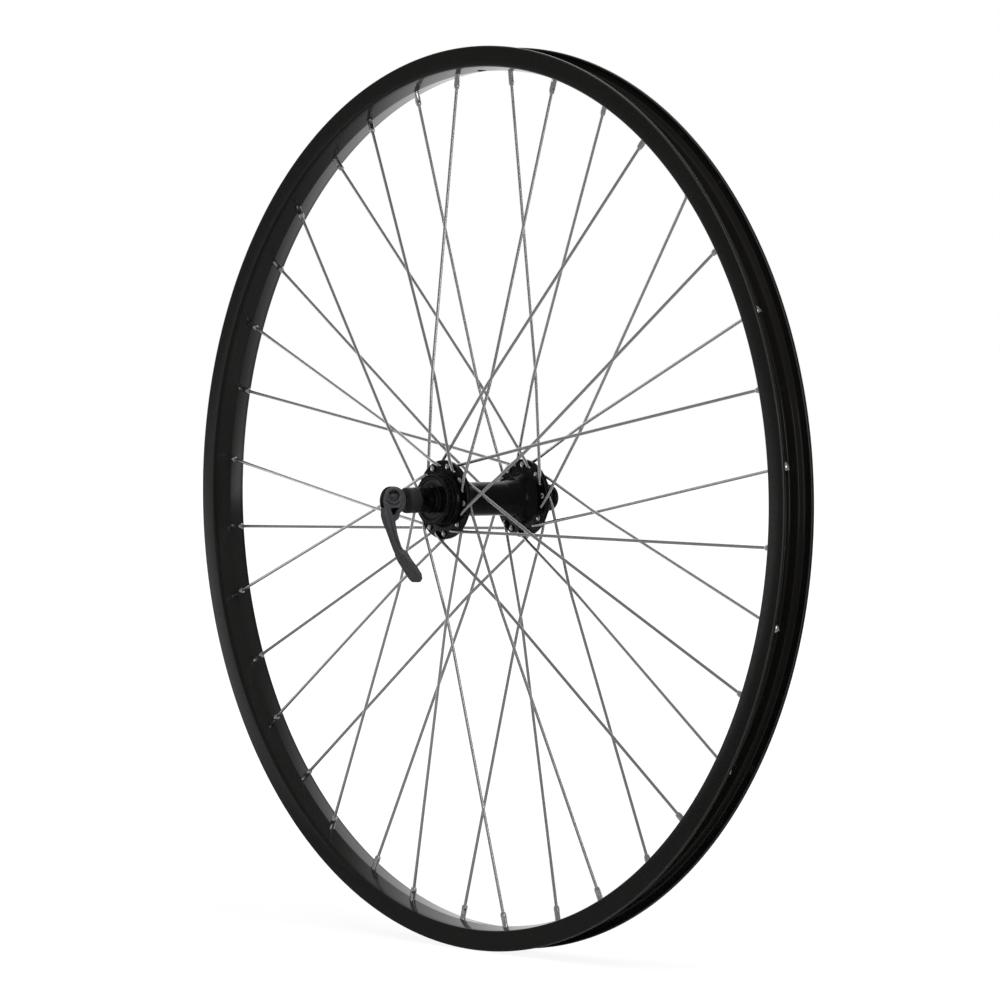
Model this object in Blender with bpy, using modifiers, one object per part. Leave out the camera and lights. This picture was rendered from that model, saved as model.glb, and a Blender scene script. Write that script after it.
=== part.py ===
"""Front bicycle wheel with a quick-release skewer, as separate pieces at real size.

The wheel centre is the origin, the axle lies along Y with the lever at -Y, and +Z is up.
Sizes are in metres. A wheel angle turns about +Y, from +Z towards +X.
"""

import math

import bmesh
import bpy
from mathutils import Matrix, Vector

# Rim
BEAD_SEAT_RADIUS = 0.2795
RIM_HOOK_HEIGHT = 0.0062
RIM_WIDTH = 0.0252
RIM_SIDE_HEIGHT = 0.0130
RIM_CREASE_DROP = 0.0021
RIM_FLOOR = 0.0024
RIM_WALL = 0.0016
HOOK_BEAD = 0.0007
HOOK_BEAD_HEIGHT = 0.0016
BEAD_LEDGE = 0.0044
BEAD_LEDGE_DROP = 0.0013
WELL_TAPER = 0.002
VALVE_HOLE_DIAMETER = 0.0085
VALVE_ANGLE = math.radians(0.8)

# Spokes and nipples
SPOKE_COUNT = 36
CROSSES = 3
SPOKE_DIAMETER = 0.002
SPOKE_HEAD_DIAMETER = 0.0038
SPOKE_HEAD_LENGTH = 0.0011
SPOKE_HEAD_TIP = 0.0025
ELBOW_RADIUS = 0.0015
NIPPLE_DIAMETER = 0.0039
NIPPLE_BODY = 0.0121
NIPPLE_HEAD_DIAMETER = 0.0056
NIPPLE_HEAD_LENGTH = 0.0026
SPOKE_HOLE_STAGGER = 0.003

# Hub shell
FLANGE_SPACING = 0.065
FLANGE_DIAMETER = 0.050
FLANGE_THICKNESS = 0.003
FLANGE_EDGE = 0.0035
BARREL_DIAMETER = 0.0216
BARREL_LENGTH = 0.030
FLANGE_ROOT_DIAMETER = 0.033
BOSS_DIAMETER = 0.032
FLARE_RISE = 0.3
FLARE_REACH = 0.55

# Bearings
BALL_DIAMETER = 0.00476
BALL_COUNT = 9
BALL_CIRCLE = 0.0205
CUP_WALL = 0.0014
RETAINER_WIRE = 0.0012
DUST_CAP_THICKNESS = 0.0011
DUST_CAP_LIP = 0.0006
CONE_NECK = 0.0024
CONE_SHOW = 0.0026

# Axle set
AXLE_DIAMETER = 0.009
AXLE_BORE = 0.006
AXLE_STUB = 0.0025
OVER_LOCKNUTS = 0.100
LOCKNUT_THICKNESS = 0.0028
LOCKNUT_FLATS = 0.0165
LOCK_WASHER_THICKNESS = 0.0013
LOCK_WASHER_DIAMETER = 0.0155

# Quick release
SKEWER_DIAMETER = 0.005
DROPOUT_GAP = 0.0054
NUT_GAP = 0.0026
HOUSING_DIAMETER = 0.0162
HOUSING_LENGTH = 0.0078
HOUSING_ROUND = 0.0014
CLAMP_RING_THICKNESS = 0.0012
CLAMP_RING_WALL = 0.0017
SPRING_POCKET = 0.0034
SPRING_WIRE = 0.0008
SPRING_END_DIAMETER = 0.0076
LEFT_SPRING_CURLS = 4.0
RIGHT_SPRING_CURLS = 1.5
NUT_DIAMETER = 0.017
NUT_SIDE = 0.0008
NUT_LENGTH = 0.0052
NUT_TIP_DIAMETER = 0.0072
NUT_DOME = ((0.16, 0.28), (0.67, 0.64))
NUT_POCKET = 0.0017
CAM_DIAMETER = 0.0172
CAM_THROW = 0.0014
LEVER_WIDTH = 0.0056
LEVER_SLOT = 0.0028
EYE_THICKNESS = 0.0020
EYE_DIAMETER = 0.0076
EYE_NECK_HEIGHT = 0.004
PIVOT_PIN_DIAMETER = 0.004
PIVOT_PIN_COVER = 0.0008
LEVER_DROP = 0.0513
LEVER_INSET = 0.0196
LEVER_THICKNESS = 0.0036

# Clearances between pieces that touch or turn
FIT = 0.0003
RUN = 0.0004

# Facets of round pieces
RIM_FACETS = 72
HUB_FACETS = 30
SMALL_FACETS = 20
HOLE_FACETS = 6
WIRE_FACETS = 1
ROD_FACETS = 4
CURL_POINTS = 9

# Half lengths and radii that several pieces share
RIM_RADIUS = BEAD_SEAT_RADIUS + RIM_HOOK_HEIGHT
HALF_RIM = RIM_WIDTH / 2
SIDE_EDGE_RADIUS = RIM_RADIUS - RIM_SIDE_HEIGHT
CREASE_RADIUS = SIDE_EDGE_RADIUS - RIM_CREASE_DROP
FLOOR_RADIUS = CREASE_RADIUS + RIM_FLOOR
SPOKE_CIRCLE = FLANGE_DIAMETER - 2 * FLANGE_EDGE
FLANGE_OUTSIDE = FLANGE_SPACING / 2 + FLANGE_THICKNESS / 2
FLANGE_INSIDE = FLANGE_SPACING / 2 - FLANGE_THICKNESS / 2
AXLE_END = OVER_LOCKNUTS / 2 + AXLE_STUB
LOCKNUT_INNER = OVER_LOCKNUTS / 2 - LOCKNUT_THICKNESS
WASHER_INNER = LOCKNUT_INNER - FIT - LOCK_WASHER_THICKNESS
CONE_OUTER = WASHER_INNER - FIT
BOSS_END = WASHER_INNER - CONE_SHOW
BALL_RADIUS = BALL_DIAMETER / 2
RACE_RADIUS = BALL_CIRCLE / 2
CUP_RADIUS = RACE_RADIUS + BALL_RADIUS + FIT + CUP_WALL
CUP_OUTER_END = BOSS_END - DUST_CAP_THICKNESS - 2 * FIT
BALL_ROW = CUP_OUTER_END - BALL_RADIUS
CUP_INNER_END = BALL_ROW - BALL_RADIUS - FIT - CUP_WALL
HUB_BORE_RADIUS = AXLE_DIAMETER / 2 + 3 * RUN
CONE_NECK_RADIUS = AXLE_DIAMETER / 2 + CONE_NECK
AXLE_HOLE_RADIUS = AXLE_DIAMETER / 2 + FIT
SKEWER_RADIUS = SKEWER_DIAMETER / 2
ROD_HOLE_RADIUS = SKEWER_RADIUS + FIT
CLAMP_LEFT = OVER_LOCKNUTS / 2 + DROPOUT_GAP
CLAMP_RIGHT = OVER_LOCKNUTS / 2 + NUT_GAP
HOUSING_INNER = CLAMP_LEFT + CLAMP_RING_THICKNESS + FIT
HOUSING_OUTER = HOUSING_INNER + HOUSING_LENGTH
CAM_CENTRE = HOUSING_OUTER + FIT + CAM_DIAMETER / 2
PIVOT = CAM_CENTRE + CAM_THROW
PIVOT_PIN_LENGTH = LEVER_WIDTH - PIVOT_PIN_COVER
NUT_INNER = CLAMP_RIGHT + CLAMP_RING_THICKNESS + FIT
NUT_OUTER = NUT_INNER + NUT_LENGTH
SIDES = {"left": -1, "right": 1}
SIDEWAYS = Vector((1, 0, 0))
ALONG_AXLE = Vector((0, 1, 0))
ROUND_MIDDLE = 1 - math.sqrt(0.5)

# Each set of spokes: the side, whether it runs outside its flange, the way it leads, its first rim hole
SPOKE_SETS = {
    "right_in": ("right", False, 1, 0),
    "left_out": ("left", True, 1, 1),
    "right_out": ("right", True, -1, 2),
    "left_in": ("left", False, -1, 3),
}
HOLE_STEP = math.pi * 2 / SPOKE_COUNT
FIRST_HOLE = VALVE_ANGLE + HOLE_STEP / 2
SPOKES_IN_SET = SPOKE_COUNT // len(SPOKE_SETS)
LACING_SPREAD = CROSSES * 2 * HOLE_STEP

# The lever's arm below its cam head: shares of the drop, the inset, the thickness and the width
LEVER_ARM = (
    (0.00, 0.080, 3.40, 1.00),
    (0.12, 0.000, 3.90, 1.00),
    (0.20, -0.030, 3.50, 1.00),
    (0.26, -0.060, 2.05, 0.92),
    (0.41, 0.040, 1.25, 0.86),
    (0.56, 0.195, 1.15, 0.88),
    (0.63, 0.360, 1.15, 1.75),
    (0.73, 0.520, 1.05, 2.05),
    (0.83, 0.740, 1.00, 2.35),
    (0.92, 0.915, 1.00, 2.30),
    (0.98, 0.990, 0.90, 1.65),
    (1.01, 0.980, 0.60, 0.80),
)


def clear_scene():
    for item in list(bpy.data.objects):
        bpy.data.objects.remove(item, do_unlink=True)


def new_collection(name):
    made = bpy.data.collections.new(name)
    bpy.context.scene.collection.children.link(made)
    return made


def finish(name, colour, roughness, metallic):
    made = bpy.data.materials.new(name)
    made.use_nodes = True
    shader = made.node_tree.nodes["Principled BSDF"]
    shader.inputs["Base Color"].default_value = (*colour, 1)
    shader.inputs["Roughness"].default_value = roughness
    shader.inputs["Metallic"].default_value = metallic
    return made


clear_scene()
WHEEL_PARTS = new_collection("bicycle_front_wheel")
CUTTERS = new_collection("cutters")
BLACK_RIM = finish("black_rim", (0.012, 0.012, 0.013), 0.42, 0.3)
GLOSS_BLACK = finish("gloss_black", (0.010, 0.010, 0.011), 0.18, 0.3)
SATIN_BLACK = finish("satin_black", (0.030, 0.030, 0.032), 0.45, 0.0)
SPOKE_STEEL = finish("spoke_steel", (0.62, 0.62, 0.63), 0.30, 1.0)
BEARING_STEEL = finish("bearing_steel", (0.55, 0.55, 0.56), 0.20, 1.0)
DARK_STEEL = finish("dark_steel", (0.16, 0.16, 0.17), 0.35, 1.0)


def on_wheel(radius, angle, y):
    return Vector((radius * math.sin(angle), y, radius * math.cos(angle)))


def empty(name, location, parent=None):
    made = bpy.data.objects.new(name, None)
    made.location = location
    made.empty_display_size = 0.02
    made.parent = parent
    WHEEL_PARTS.objects.link(made)
    return made


def add_object(name, mesh, material=None, parent=None):
    """A visible piece, or a cutter where no material is given."""
    made = bpy.data.objects.new(name, mesh)
    if material is None:
        made.hide_render = True
        made.display_type = "WIRE"
        CUTTERS.objects.link(made)
        return made
    if not mesh.materials:
        mesh.materials.append(material)
    made.parent = parent
    if parent is not None:
        made.matrix_parent_inverse = Matrix.Translation(-parent.location)
    WHEEL_PARTS.objects.link(made)
    return made


def cut(piece, cutter, operation="DIFFERENCE"):
    boolean = piece.modifiers.new(operation.lower(), "BOOLEAN")
    boolean.operation = operation
    boolean.object = cutter


def turned(name, outline, facets, material=None, parent=None):
    """A closed (radius, y) outline turned about the Y axis."""
    pairs = zip(outline, outline[1:] + outline[:1])
    area = sum(a[0] * b[1] - b[0] * a[1] for a, b in pairs)
    if area > 0:
        outline = outline[::-1]
    mesh = bpy.data.meshes.new(name)
    count = len(outline)
    mesh.from_pydata(
        [(radius, y, 0) for radius, y in outline], [(i, (i + 1) % count) for i in range(count)], []
    )
    made = add_object(name, mesh, material, parent)
    screw = made.modifiers.new("turn", "SCREW")
    screw.axis = "Y"
    screw.steps = facets
    screw.render_steps = facets
    screw.use_merge_vertices = True
    screw.merge_threshold = 0.00001
    screw.use_smooth_shade = True
    return made


def mirrored(half):
    """An outline that is the same on both sides of the wheel's middle, from its y >= 0 half."""
    other = [(radius, -y) for radius, y in reversed(half) if y > 0]
    return half + other


def on_side(side, outline):
    return [(radius, SIDES[side] * y) for radius, y in outline]


def rods(name, rows, facets):
    """One cutter mesh of separate cylinders, each (centre, direction, radius to the flats, length)."""
    shape = bmesh.new()
    for centre, direction, radius, length in rows:
        turn = direction.to_track_quat("Z", "Y").to_matrix().to_4x4()
        corner_radius = radius / math.cos(math.pi / facets)
        bmesh.ops.create_cone(
            shape,
            cap_ends=True,
            segments=facets,
            radius1=corner_radius,
            radius2=corner_radius,
            depth=length,
            matrix=Matrix.Translation(centre) @ turn,
        )
    mesh = bpy.data.meshes.new(name)
    shape.to_mesh(mesh)
    shape.free()
    return add_object(name, mesh)


def block(name, low, high):
    shape = bmesh.new()
    bmesh.ops.create_cube(shape, size=1)
    size = Vector(high) - Vector(low)
    middle = (Vector(high) + Vector(low)) / 2
    bmesh.ops.scale(shape, vec=size, verts=shape.verts)
    bmesh.ops.translate(shape, vec=middle, verts=shape.verts)
    mesh = bpy.data.meshes.new(name)
    shape.to_mesh(mesh)
    shape.free()
    return add_object(name, mesh)


def wire_mesh(name, points, radii, resolution):
    """A round bar along the points as a closed mesh, with a radius at each point."""
    curve = bpy.data.curves.new(name, "CURVE")
    curve.dimensions = "3D"
    curve.bevel_depth = 1
    curve.bevel_resolution = resolution
    curve.use_fill_caps = True
    spline = curve.splines.new("POLY")
    spline.points.add(len(points) - 1)
    for point, place, radius in zip(spline.points, points, radii):
        point.co = (*place, 1)
        point.radius = radius
    guide = bpy.data.objects.new(name, curve)
    CUTTERS.objects.link(guide)
    graph = bpy.context.evaluated_depsgraph_get()
    mesh = bpy.data.meshes.new_from_object(guide.evaluated_get(graph))
    bpy.data.objects.remove(guide)
    shape = bmesh.new()
    shape.from_mesh(mesh)
    bmesh.ops.remove_doubles(shape, verts=shape.verts, dist=0.00001)
    bmesh.ops.recalc_face_normals(shape, faces=shape.faces)
    shape.to_mesh(mesh)
    shape.free()
    mesh.shade_smooth()
    return mesh


# Empties on the joint axes
WHEEL_AXIS = empty("wheel_axis", (0, 0, 0))
SKEWER_AXIS = empty("skewer_axis", (0, 0, 0))
LEVER_AXIS = empty("lever_axis", (0, -PIVOT, 0), SKEWER_AXIS)
NUT_AXIS = empty("nut_axis", (0, NUT_INNER, 0), SKEWER_AXIS)


class SpokePath:
    """The middle line of one spoke from its head to its nipple's end, and the bar's radius along it."""

    def __init__(self, side, outside, lead, rim_angle):
        sign = SIDES[side]
        face = sign if outside else -sign
        flange_y = sign * FLANGE_SPACING / 2
        hub_angle = rim_angle + lead * LACING_SPREAD
        radius = SPOKE_DIAMETER / 2
        rim_y = sign * SPOKE_HOLE_STAGGER / 2
        self.seat = on_wheel(FLOOR_RADIUS, rim_angle, rim_y)
        self.hub_hole = on_wheel(SPOKE_CIRCLE / 2, hub_angle, flange_y)
        across = Vector((self.seat.x - self.hub_hole.x, 0, self.seat.z - self.hub_hole.z))
        reach = across.length
        along = across.normalized()
        head_y = flange_y - face * (FLANGE_THICKNESS / 2 + FIT)
        run_y = flange_y + face * (FLANGE_THICKNESS / 2 + FIT + radius)

        def at(distance, y):
            point = self.hub_hole + along * distance
            return Vector((point.x, y, point.z))

        bend = [math.pi / 2 * step / 2 for step in range(3)]
        turn_y = run_y - face * ELBOW_RADIUS
        elbow = [
            at(ELBOW_RADIUS * (1 - math.cos(a)), turn_y + face * ELBOW_RADIUS * math.sin(a)) for a in bend
        ]
        outward = self.hub_hole.x * along.x + self.hub_hole.z * along.z
        past_flange = (FLANGE_DIAMETER / 2) ** 2 - (SPOKE_CIRCLE / 2) ** 2
        flange_run = math.sqrt(outward**2 + past_flange) - outward + radius
        cross_distance = self.last_cross(reach)
        middle_y = flange_y + (rim_y - flange_y) * cross_distance / reach
        cross = at(cross_distance, middle_y - face * (SPOKE_DIAMETER + RUN) / 2)
        self.direction = (self.seat - cross).normalized()

        nipple_radius = NIPPLE_DIAMETER / 2
        head_radius = NIPPLE_HEAD_DIAMETER / 2
        step = FIT / 6
        upright = self.direction.dot(on_wheel(1, rim_angle, 0))
        lean = math.sqrt(1 - upright**2) / upright
        under_head = FIT + head_radius * lean
        self.points = [
            at(0, head_y - face * SPOKE_HEAD_LENGTH),
            at(0, head_y - face * SPOKE_HEAD_LENGTH / 2),
            at(0, head_y),
            *elbow,
            at(flange_run, run_y),
            cross,
        ]
        self.radii = [SPOKE_HEAD_TIP / 2, SPOKE_HEAD_DIAMETER / 2] + [radius] * 6
        nipple = [
            (-NIPPLE_BODY - step, radius),
            (-NIPPLE_BODY, nipple_radius),
            (under_head - step, nipple_radius),
            (under_head, head_radius),
            (under_head + NIPPLE_HEAD_LENGTH, nipple_radius),
        ]
        for distance, thickness in nipple:
            self.points.append(self.seat + self.direction * distance)
            self.radii.append(thickness)

    def last_cross(self, reach):
        """Distance from the hub hole to where the spoke meets its partner for the last time."""
        hub = SPOKE_CIRCLE / 2
        rim_part = FLOOR_RADIUS * math.sin(HOLE_STEP)
        hub_part = hub * math.sin(LACING_SPREAD - HOLE_STEP)
        crossing = FLOOR_RADIUS * hub * math.sin(LACING_SPREAD) / (rim_part + hub_part)
        square = FLOOR_RADIUS**2 + crossing**2 - 2 * FLOOR_RADIUS * crossing * math.cos(HOLE_STEP)
        return reach - math.sqrt(square)


def build_spokes():
    rim_holes = []
    hub_holes = []
    for set_name, (side, outside, lead, first) in SPOKE_SETS.items():
        path = SpokePath(side, outside, lead, FIRST_HOLE + HOLE_STEP * first)
        mesh = wire_mesh("spoke_" + set_name, path.points, path.radii, WIRE_FACETS)
        for number in range(SPOKES_IN_SET):
            turn = HOLE_STEP * len(SPOKE_SETS) * number
            spoke = add_object(f"spoke_{set_name}_{number + 1}", mesh, SPOKE_STEEL, WHEEL_AXIS)
            spoke.rotation_euler.y = turn
            spin = Matrix.Rotation(turn, 3, "Y")
            rim_holes.append(
                (spin @ path.seat, spin @ path.direction, NIPPLE_DIAMETER / 2 + FIT, 4 * RIM_FLOOR)
            )
            hub_holes.append(
                (spin @ path.hub_hole, ALONG_AXLE, SPOKE_DIAMETER / 2 + FIT, 2 * FLANGE_THICKNESS)
            )
    return rim_holes, hub_holes


def build_rim(spoke_holes):
    wall_y = HALF_RIM - RIM_WALL
    lip_y = wall_y - HOOK_BEAD
    hook_radius = RIM_RADIUS - HOOK_BEAD_HEIGHT
    ledge_y = wall_y - BEAD_LEDGE
    well_y = ledge_y - WELL_TAPER
    half = [
        (CREASE_RADIUS, 0),
        (SIDE_EDGE_RADIUS, HALF_RIM),
        (RIM_RADIUS, HALF_RIM),
        (RIM_RADIUS, lip_y),
        (hook_radius, lip_y),
        (hook_radius - HOOK_BEAD, wall_y),
        (BEAD_SEAT_RADIUS, wall_y),
        (BEAD_SEAT_RADIUS - BEAD_LEDGE_DROP, ledge_y),
        (FLOOR_RADIUS, well_y),
    ]
    rim = turned("rim", mirrored(half), RIM_FACETS, BLACK_RIM, WHEEL_AXIS)
    cut(rim, rods("spoke_holes_in_rim", spoke_holes, HOLE_FACETS))
    outward = on_wheel(1, VALVE_ANGLE, 0)
    valve = (outward * FLOOR_RADIUS, outward, VALVE_HOLE_DIAMETER / 2, 4 * RIM_FLOOR)
    cut(rim, rods("valve_hole", [valve], SMALL_FACETS // 2))


def build_hub_shell(spoke_holes):
    cup_hole = CUP_RADIUS + FIT
    cap_hole = cup_hole + DUST_CAP_LIP
    boss = BOSS_DIAMETER / 2
    root = FLANGE_ROOT_DIAMETER / 2
    barrel = BARREL_DIAMETER / 2
    flare = FLANGE_INSIDE - BARREL_LENGTH / 2
    half = [
        (barrel, BARREL_LENGTH / 2),
        (barrel + (root - barrel) * FLARE_RISE, BARREL_LENGTH / 2 + flare * FLARE_REACH),
        (root, FLANGE_INSIDE),
        (FLANGE_DIAMETER / 2, FLANGE_INSIDE),
        (FLANGE_DIAMETER / 2, FLANGE_OUTSIDE),
        (boss, FLANGE_OUTSIDE),
        (boss, BOSS_END),
        (cap_hole, BOSS_END),
        (cap_hole, CUP_OUTER_END),
        (cup_hole, CUP_OUTER_END),
        (cup_hole, CUP_INNER_END - FIT),
        (HUB_BORE_RADIUS, CUP_INNER_END - FIT),
    ]
    shell = turned("hub_shell", mirrored(half), HUB_FACETS, GLOSS_BLACK, WHEEL_AXIS)
    cut(shell, rods("spoke_holes_in_hub", spoke_holes, HOLE_FACETS))


def race(gap, start, end, steps):
    """Points of a race in (radius, y) at the gap from a ball, between two angles from +radius to +y."""
    arc = BALL_RADIUS + gap
    angles = [start + (end - start) * step / steps for step in range(steps + 1)]
    return [(RACE_RADIUS + arc * math.cos(a), BALL_ROW + arc * math.sin(a)) for a in angles]


def build_bearing(side):
    quarter = math.pi / 2
    cup = [
        (CUP_RADIUS, CUP_OUTER_END),
        (CUP_RADIUS, CUP_INNER_END),
        (HUB_BORE_RADIUS, CUP_INNER_END),
        (HUB_BORE_RADIUS, BALL_ROW - BALL_RADIUS - FIT),
        *race(FIT, -quarter, 0, 2),
        (RACE_RADIUS + BALL_RADIUS + FIT, CUP_OUTER_END),
    ]
    turned(f"{side}_bearing_cup", on_side(side, cup), HUB_FACETS, BEARING_STEEL, WHEEL_AXIS)

    cone = [
        (AXLE_HOLE_RADIUS, CONE_OUTER),
        (AXLE_HOLE_RADIUS, BALL_ROW - BALL_RADIUS / 2),
        (RACE_RADIUS - BALL_RADIUS - FIT, BALL_ROW - BALL_RADIUS / 2),
        *race(FIT, 2 * quarter, 1.6 * quarter, 2),
        (CONE_NECK_RADIUS, CUP_OUTER_END - RUN),
        (CONE_NECK_RADIUS, CONE_OUTER),
    ]
    turned(f"{side}_cone", on_side(side, cone), SMALL_FACETS, BEARING_STEEL)

    cap = [
        (CUP_RADIUS + DUST_CAP_LIP, BOSS_END),
        (CUP_RADIUS + DUST_CAP_LIP, CUP_OUTER_END + FIT),
        (CONE_NECK_RADIUS + RUN, CUP_OUTER_END + FIT),
        (CONE_NECK_RADIUS + RUN, BOSS_END),
    ]
    turned(f"{side}_dust_cap", on_side(side, cap), HUB_FACETS, GLOSS_BLACK, WHEEL_AXIS)
    build_ball_ring(side)


def build_ball_ring(side):
    """Balls in their retainer: a wire ring through the balls' centres holds them at even steps."""
    half = RETAINER_WIRE / 2
    row = SIDES[side] * BALL_ROW
    ring = [
        (RACE_RADIUS + half, row + half),
        (RACE_RADIUS + half, row - half),
        (RACE_RADIUS - half, row - half),
        (RACE_RADIUS - half, row + half),
    ]
    retainer = turned(f"{side}_ball_ring", ring, BALL_COUNT, BEARING_STEEL)
    shape = bmesh.new()
    for number in range(BALL_COUNT):
        centre = on_wheel(RACE_RADIUS, 2 * math.pi * number / BALL_COUNT, row)
        bmesh.ops.create_icosphere(
            shape, subdivisions=2, radius=BALL_RADIUS, matrix=Matrix.Translation(centre)
        )
    mesh = bpy.data.meshes.new(f"{side}_balls")
    shape.to_mesh(mesh)
    shape.free()
    cut(retainer, add_object(f"{side}_balls", mesh), "UNION")


def build_axle_set():
    tube = mirrored([(AXLE_DIAMETER / 2, AXLE_END), (AXLE_BORE / 2, AXLE_END)])
    turned("axle", tube, SMALL_FACETS, DARK_STEEL)
    for side in SIDES:
        washer = [
            (LOCK_WASHER_DIAMETER / 2, WASHER_INNER + LOCK_WASHER_THICKNESS),
            (LOCK_WASHER_DIAMETER / 2, WASHER_INNER),
            (AXLE_HOLE_RADIUS, WASHER_INNER),
            (AXLE_HOLE_RADIUS, WASHER_INNER + LOCK_WASHER_THICKNESS),
        ]
        turned(f"{side}_lock_washer", on_side(side, washer), SMALL_FACETS, DARK_STEEL)
        build_locknut(side)


def build_locknut(side):
    shape = bmesh.new()
    middle = SIDES[side] * (LOCKNUT_INNER + LOCKNUT_THICKNESS / 2)
    corner_radius = LOCKNUT_FLATS / 2 / math.cos(math.pi / 6)
    bmesh.ops.create_cone(
        shape,
        cap_ends=True,
        segments=6,
        radius1=corner_radius,
        radius2=corner_radius,
        depth=LOCKNUT_THICKNESS,
        matrix=Matrix.Translation((0, middle, 0)) @ Matrix.Rotation(math.pi / 2, 4, "X"),
    )
    mesh = bpy.data.meshes.new(f"{side}_locknut")
    shape.to_mesh(mesh)
    shape.free()
    nut = add_object(f"{side}_locknut", mesh, DARK_STEEL)
    hole = (ALONG_AXLE * middle, ALONG_AXLE, AXLE_HOLE_RADIUS, 2 * LOCKNUT_THICKNESS)
    cut(nut, rods(f"{side}_locknut_hole", [hole], SMALL_FACETS))


def build_skewer():
    """The rod, flattened to an eye at the lever's pivot, and the pin through the eye."""
    neck = HOUSING_OUTER - HOUSING_ROUND
    rod_ends = [ALONG_AXLE * -neck, ALONG_AXLE * NUT_OUTER]
    rod = wire_mesh("skewer_rod", rod_ends, [SKEWER_RADIUS] * 2, ROD_FACETS)
    skewer = add_object("skewer_rod", rod, SPOKE_STEEL, SKEWER_AXIS)
    flat = EYE_THICKNESS / 2 - FIT
    half_neck = EYE_NECK_HEIGHT / 2
    eye_neck = block("eye_neck", (-flat, -PIVOT, -half_neck), (flat, -neck + FIT, half_neck))
    cut(skewer, eye_neck, "UNION")
    pivot = Vector((0, -PIVOT, 0))
    cut(skewer, rods("eye", [(pivot, SIDEWAYS, EYE_DIAMETER / 2, EYE_THICKNESS)], SMALL_FACETS), "UNION")
    pin_hole = (pivot, SIDEWAYS, PIVOT_PIN_DIAMETER / 2 + FIT, 2 * EYE_THICKNESS)
    cut(skewer, rods("eye_hole", [pin_hole], SMALL_FACETS))

    pin_radius = PIVOT_PIN_DIAMETER / 2
    pin_middle = pivot + SIDEWAYS * (PIVOT_PIN_LENGTH - LEVER_WIDTH) / 2
    half_pin = SIDEWAYS * PIVOT_PIN_LENGTH / 2
    pin_ends = [pin_middle - half_pin, pin_middle + half_pin]
    pin = wire_mesh("pivot_pin", pin_ends, [pin_radius] * 2, ROD_FACETS)
    add_object("pivot_pin", pin, BEARING_STEEL, LEVER_AXIS)


def lever_arm_mesh():
    """A loft of eight-sided sections down the arm to its paddle."""
    pivot = Vector((0, -PIVOT, 0))
    places = [
        pivot + Vector((0, LEVER_INSET * inset, -LEVER_DROP * drop)) for drop, inset, _, _ in LEVER_ARM
    ]
    shape = bmesh.new()
    rings = []
    last = len(places) - 1
    for number, (place, (_, _, thickness, width)) in enumerate(zip(places, LEVER_ARM)):
        along = (places[min(number + 1, last)] - places[max(number - 1, 0)]).normalized()
        half_width = SIDEWAYS * LEVER_WIDTH * width / 2
        half_thickness = SIDEWAYS.cross(along) * LEVER_THICKNESS * thickness / 2
        ring = []
        for corner in range(8):
            angle = math.pi / 8 + math.pi / 4 * corner
            offset = half_width * math.cos(angle) + half_thickness * math.sin(angle)
            ring.append(shape.verts.new(place + offset / math.cos(math.pi / 8)))
        rings.append(ring)
    for first, second in zip(rings, rings[1:]):
        for corner in range(8):
            after = (corner + 1) % 8
            shape.faces.new((first[corner], first[after], second[after], second[corner]))
    shape.faces.new(rings[0])
    shape.faces.new(rings[-1])
    bmesh.ops.recalc_face_normals(shape, faces=shape.faces)
    mesh = bpy.data.meshes.new("lever")
    shape.to_mesh(mesh)
    shape.free()
    mesh.shade_smooth()
    return mesh


def build_lever():
    lever = add_object("lever", lever_arm_mesh(), SATIN_BLACK, LEVER_AXIS)
    smooth = lever.modifiers.new("smooth", "SUBSURF")
    smooth.levels = 1
    smooth.render_levels = 1
    cam = (ALONG_AXLE * -CAM_CENTRE, SIDEWAYS, CAM_DIAMETER / 2, LEVER_WIDTH)
    cut(lever, rods("lever_cam", [cam], HUB_FACETS), "UNION")
    slot = LEVER_SLOT / 2
    slot_floor = -(EYE_DIAMETER / 2 + RUN)
    reach = 2 * CAM_DIAMETER
    slot_box = block("lever_slot", (-slot, -PIVOT - reach, slot_floor), (slot, -PIVOT + reach, reach))
    cut(lever, slot_box)
    blind = PIVOT_PIN_LENGTH + FIT
    bore_middle = Vector((blind / 2 - LEVER_WIDTH * 3 / 4, -PIVOT, 0))
    bore = (bore_middle, SIDEWAYS, PIVOT_PIN_DIAMETER / 2 + FIT, blind + LEVER_WIDTH / 2)
    cut(lever, rods("lever_pin_hole", [bore], SMALL_FACETS))


def clamp_ring(name, inner, thickness_sign, outer_radius, parent):
    near = inner
    far = inner + thickness_sign * CLAMP_RING_THICKNESS
    ring = [
        (outer_radius, far),
        (outer_radius, near),
        (outer_radius - CLAMP_RING_WALL, near),
        (outer_radius - CLAMP_RING_WALL, far),
    ]
    turned(name, ring, SMALL_FACETS, DARK_STEEL, parent)


def build_housing():
    outer = HOUSING_DIAMETER / 2
    pocket = outer - CLAMP_RING_WALL
    pocket_end = HOUSING_INNER + SPRING_POCKET
    side = [
        (outer, HOUSING_INNER),
        (outer, HOUSING_OUTER - HOUSING_ROUND),
        (outer - HOUSING_ROUND * ROUND_MIDDLE, HOUSING_OUTER - HOUSING_ROUND * ROUND_MIDDLE),
        (outer - HOUSING_ROUND, HOUSING_OUTER),
        (ROD_HOLE_RADIUS, HOUSING_OUTER),
        (ROD_HOLE_RADIUS, pocket_end),
        (pocket, pocket_end),
        (pocket, HOUSING_INNER),
    ]
    turned("cam_housing", on_side("left", side), SMALL_FACETS, SATIN_BLACK, SKEWER_AXIS)
    clamp_ring("left_clamp_ring", -CLAMP_LEFT, -1, outer, SKEWER_AXIS)


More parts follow.
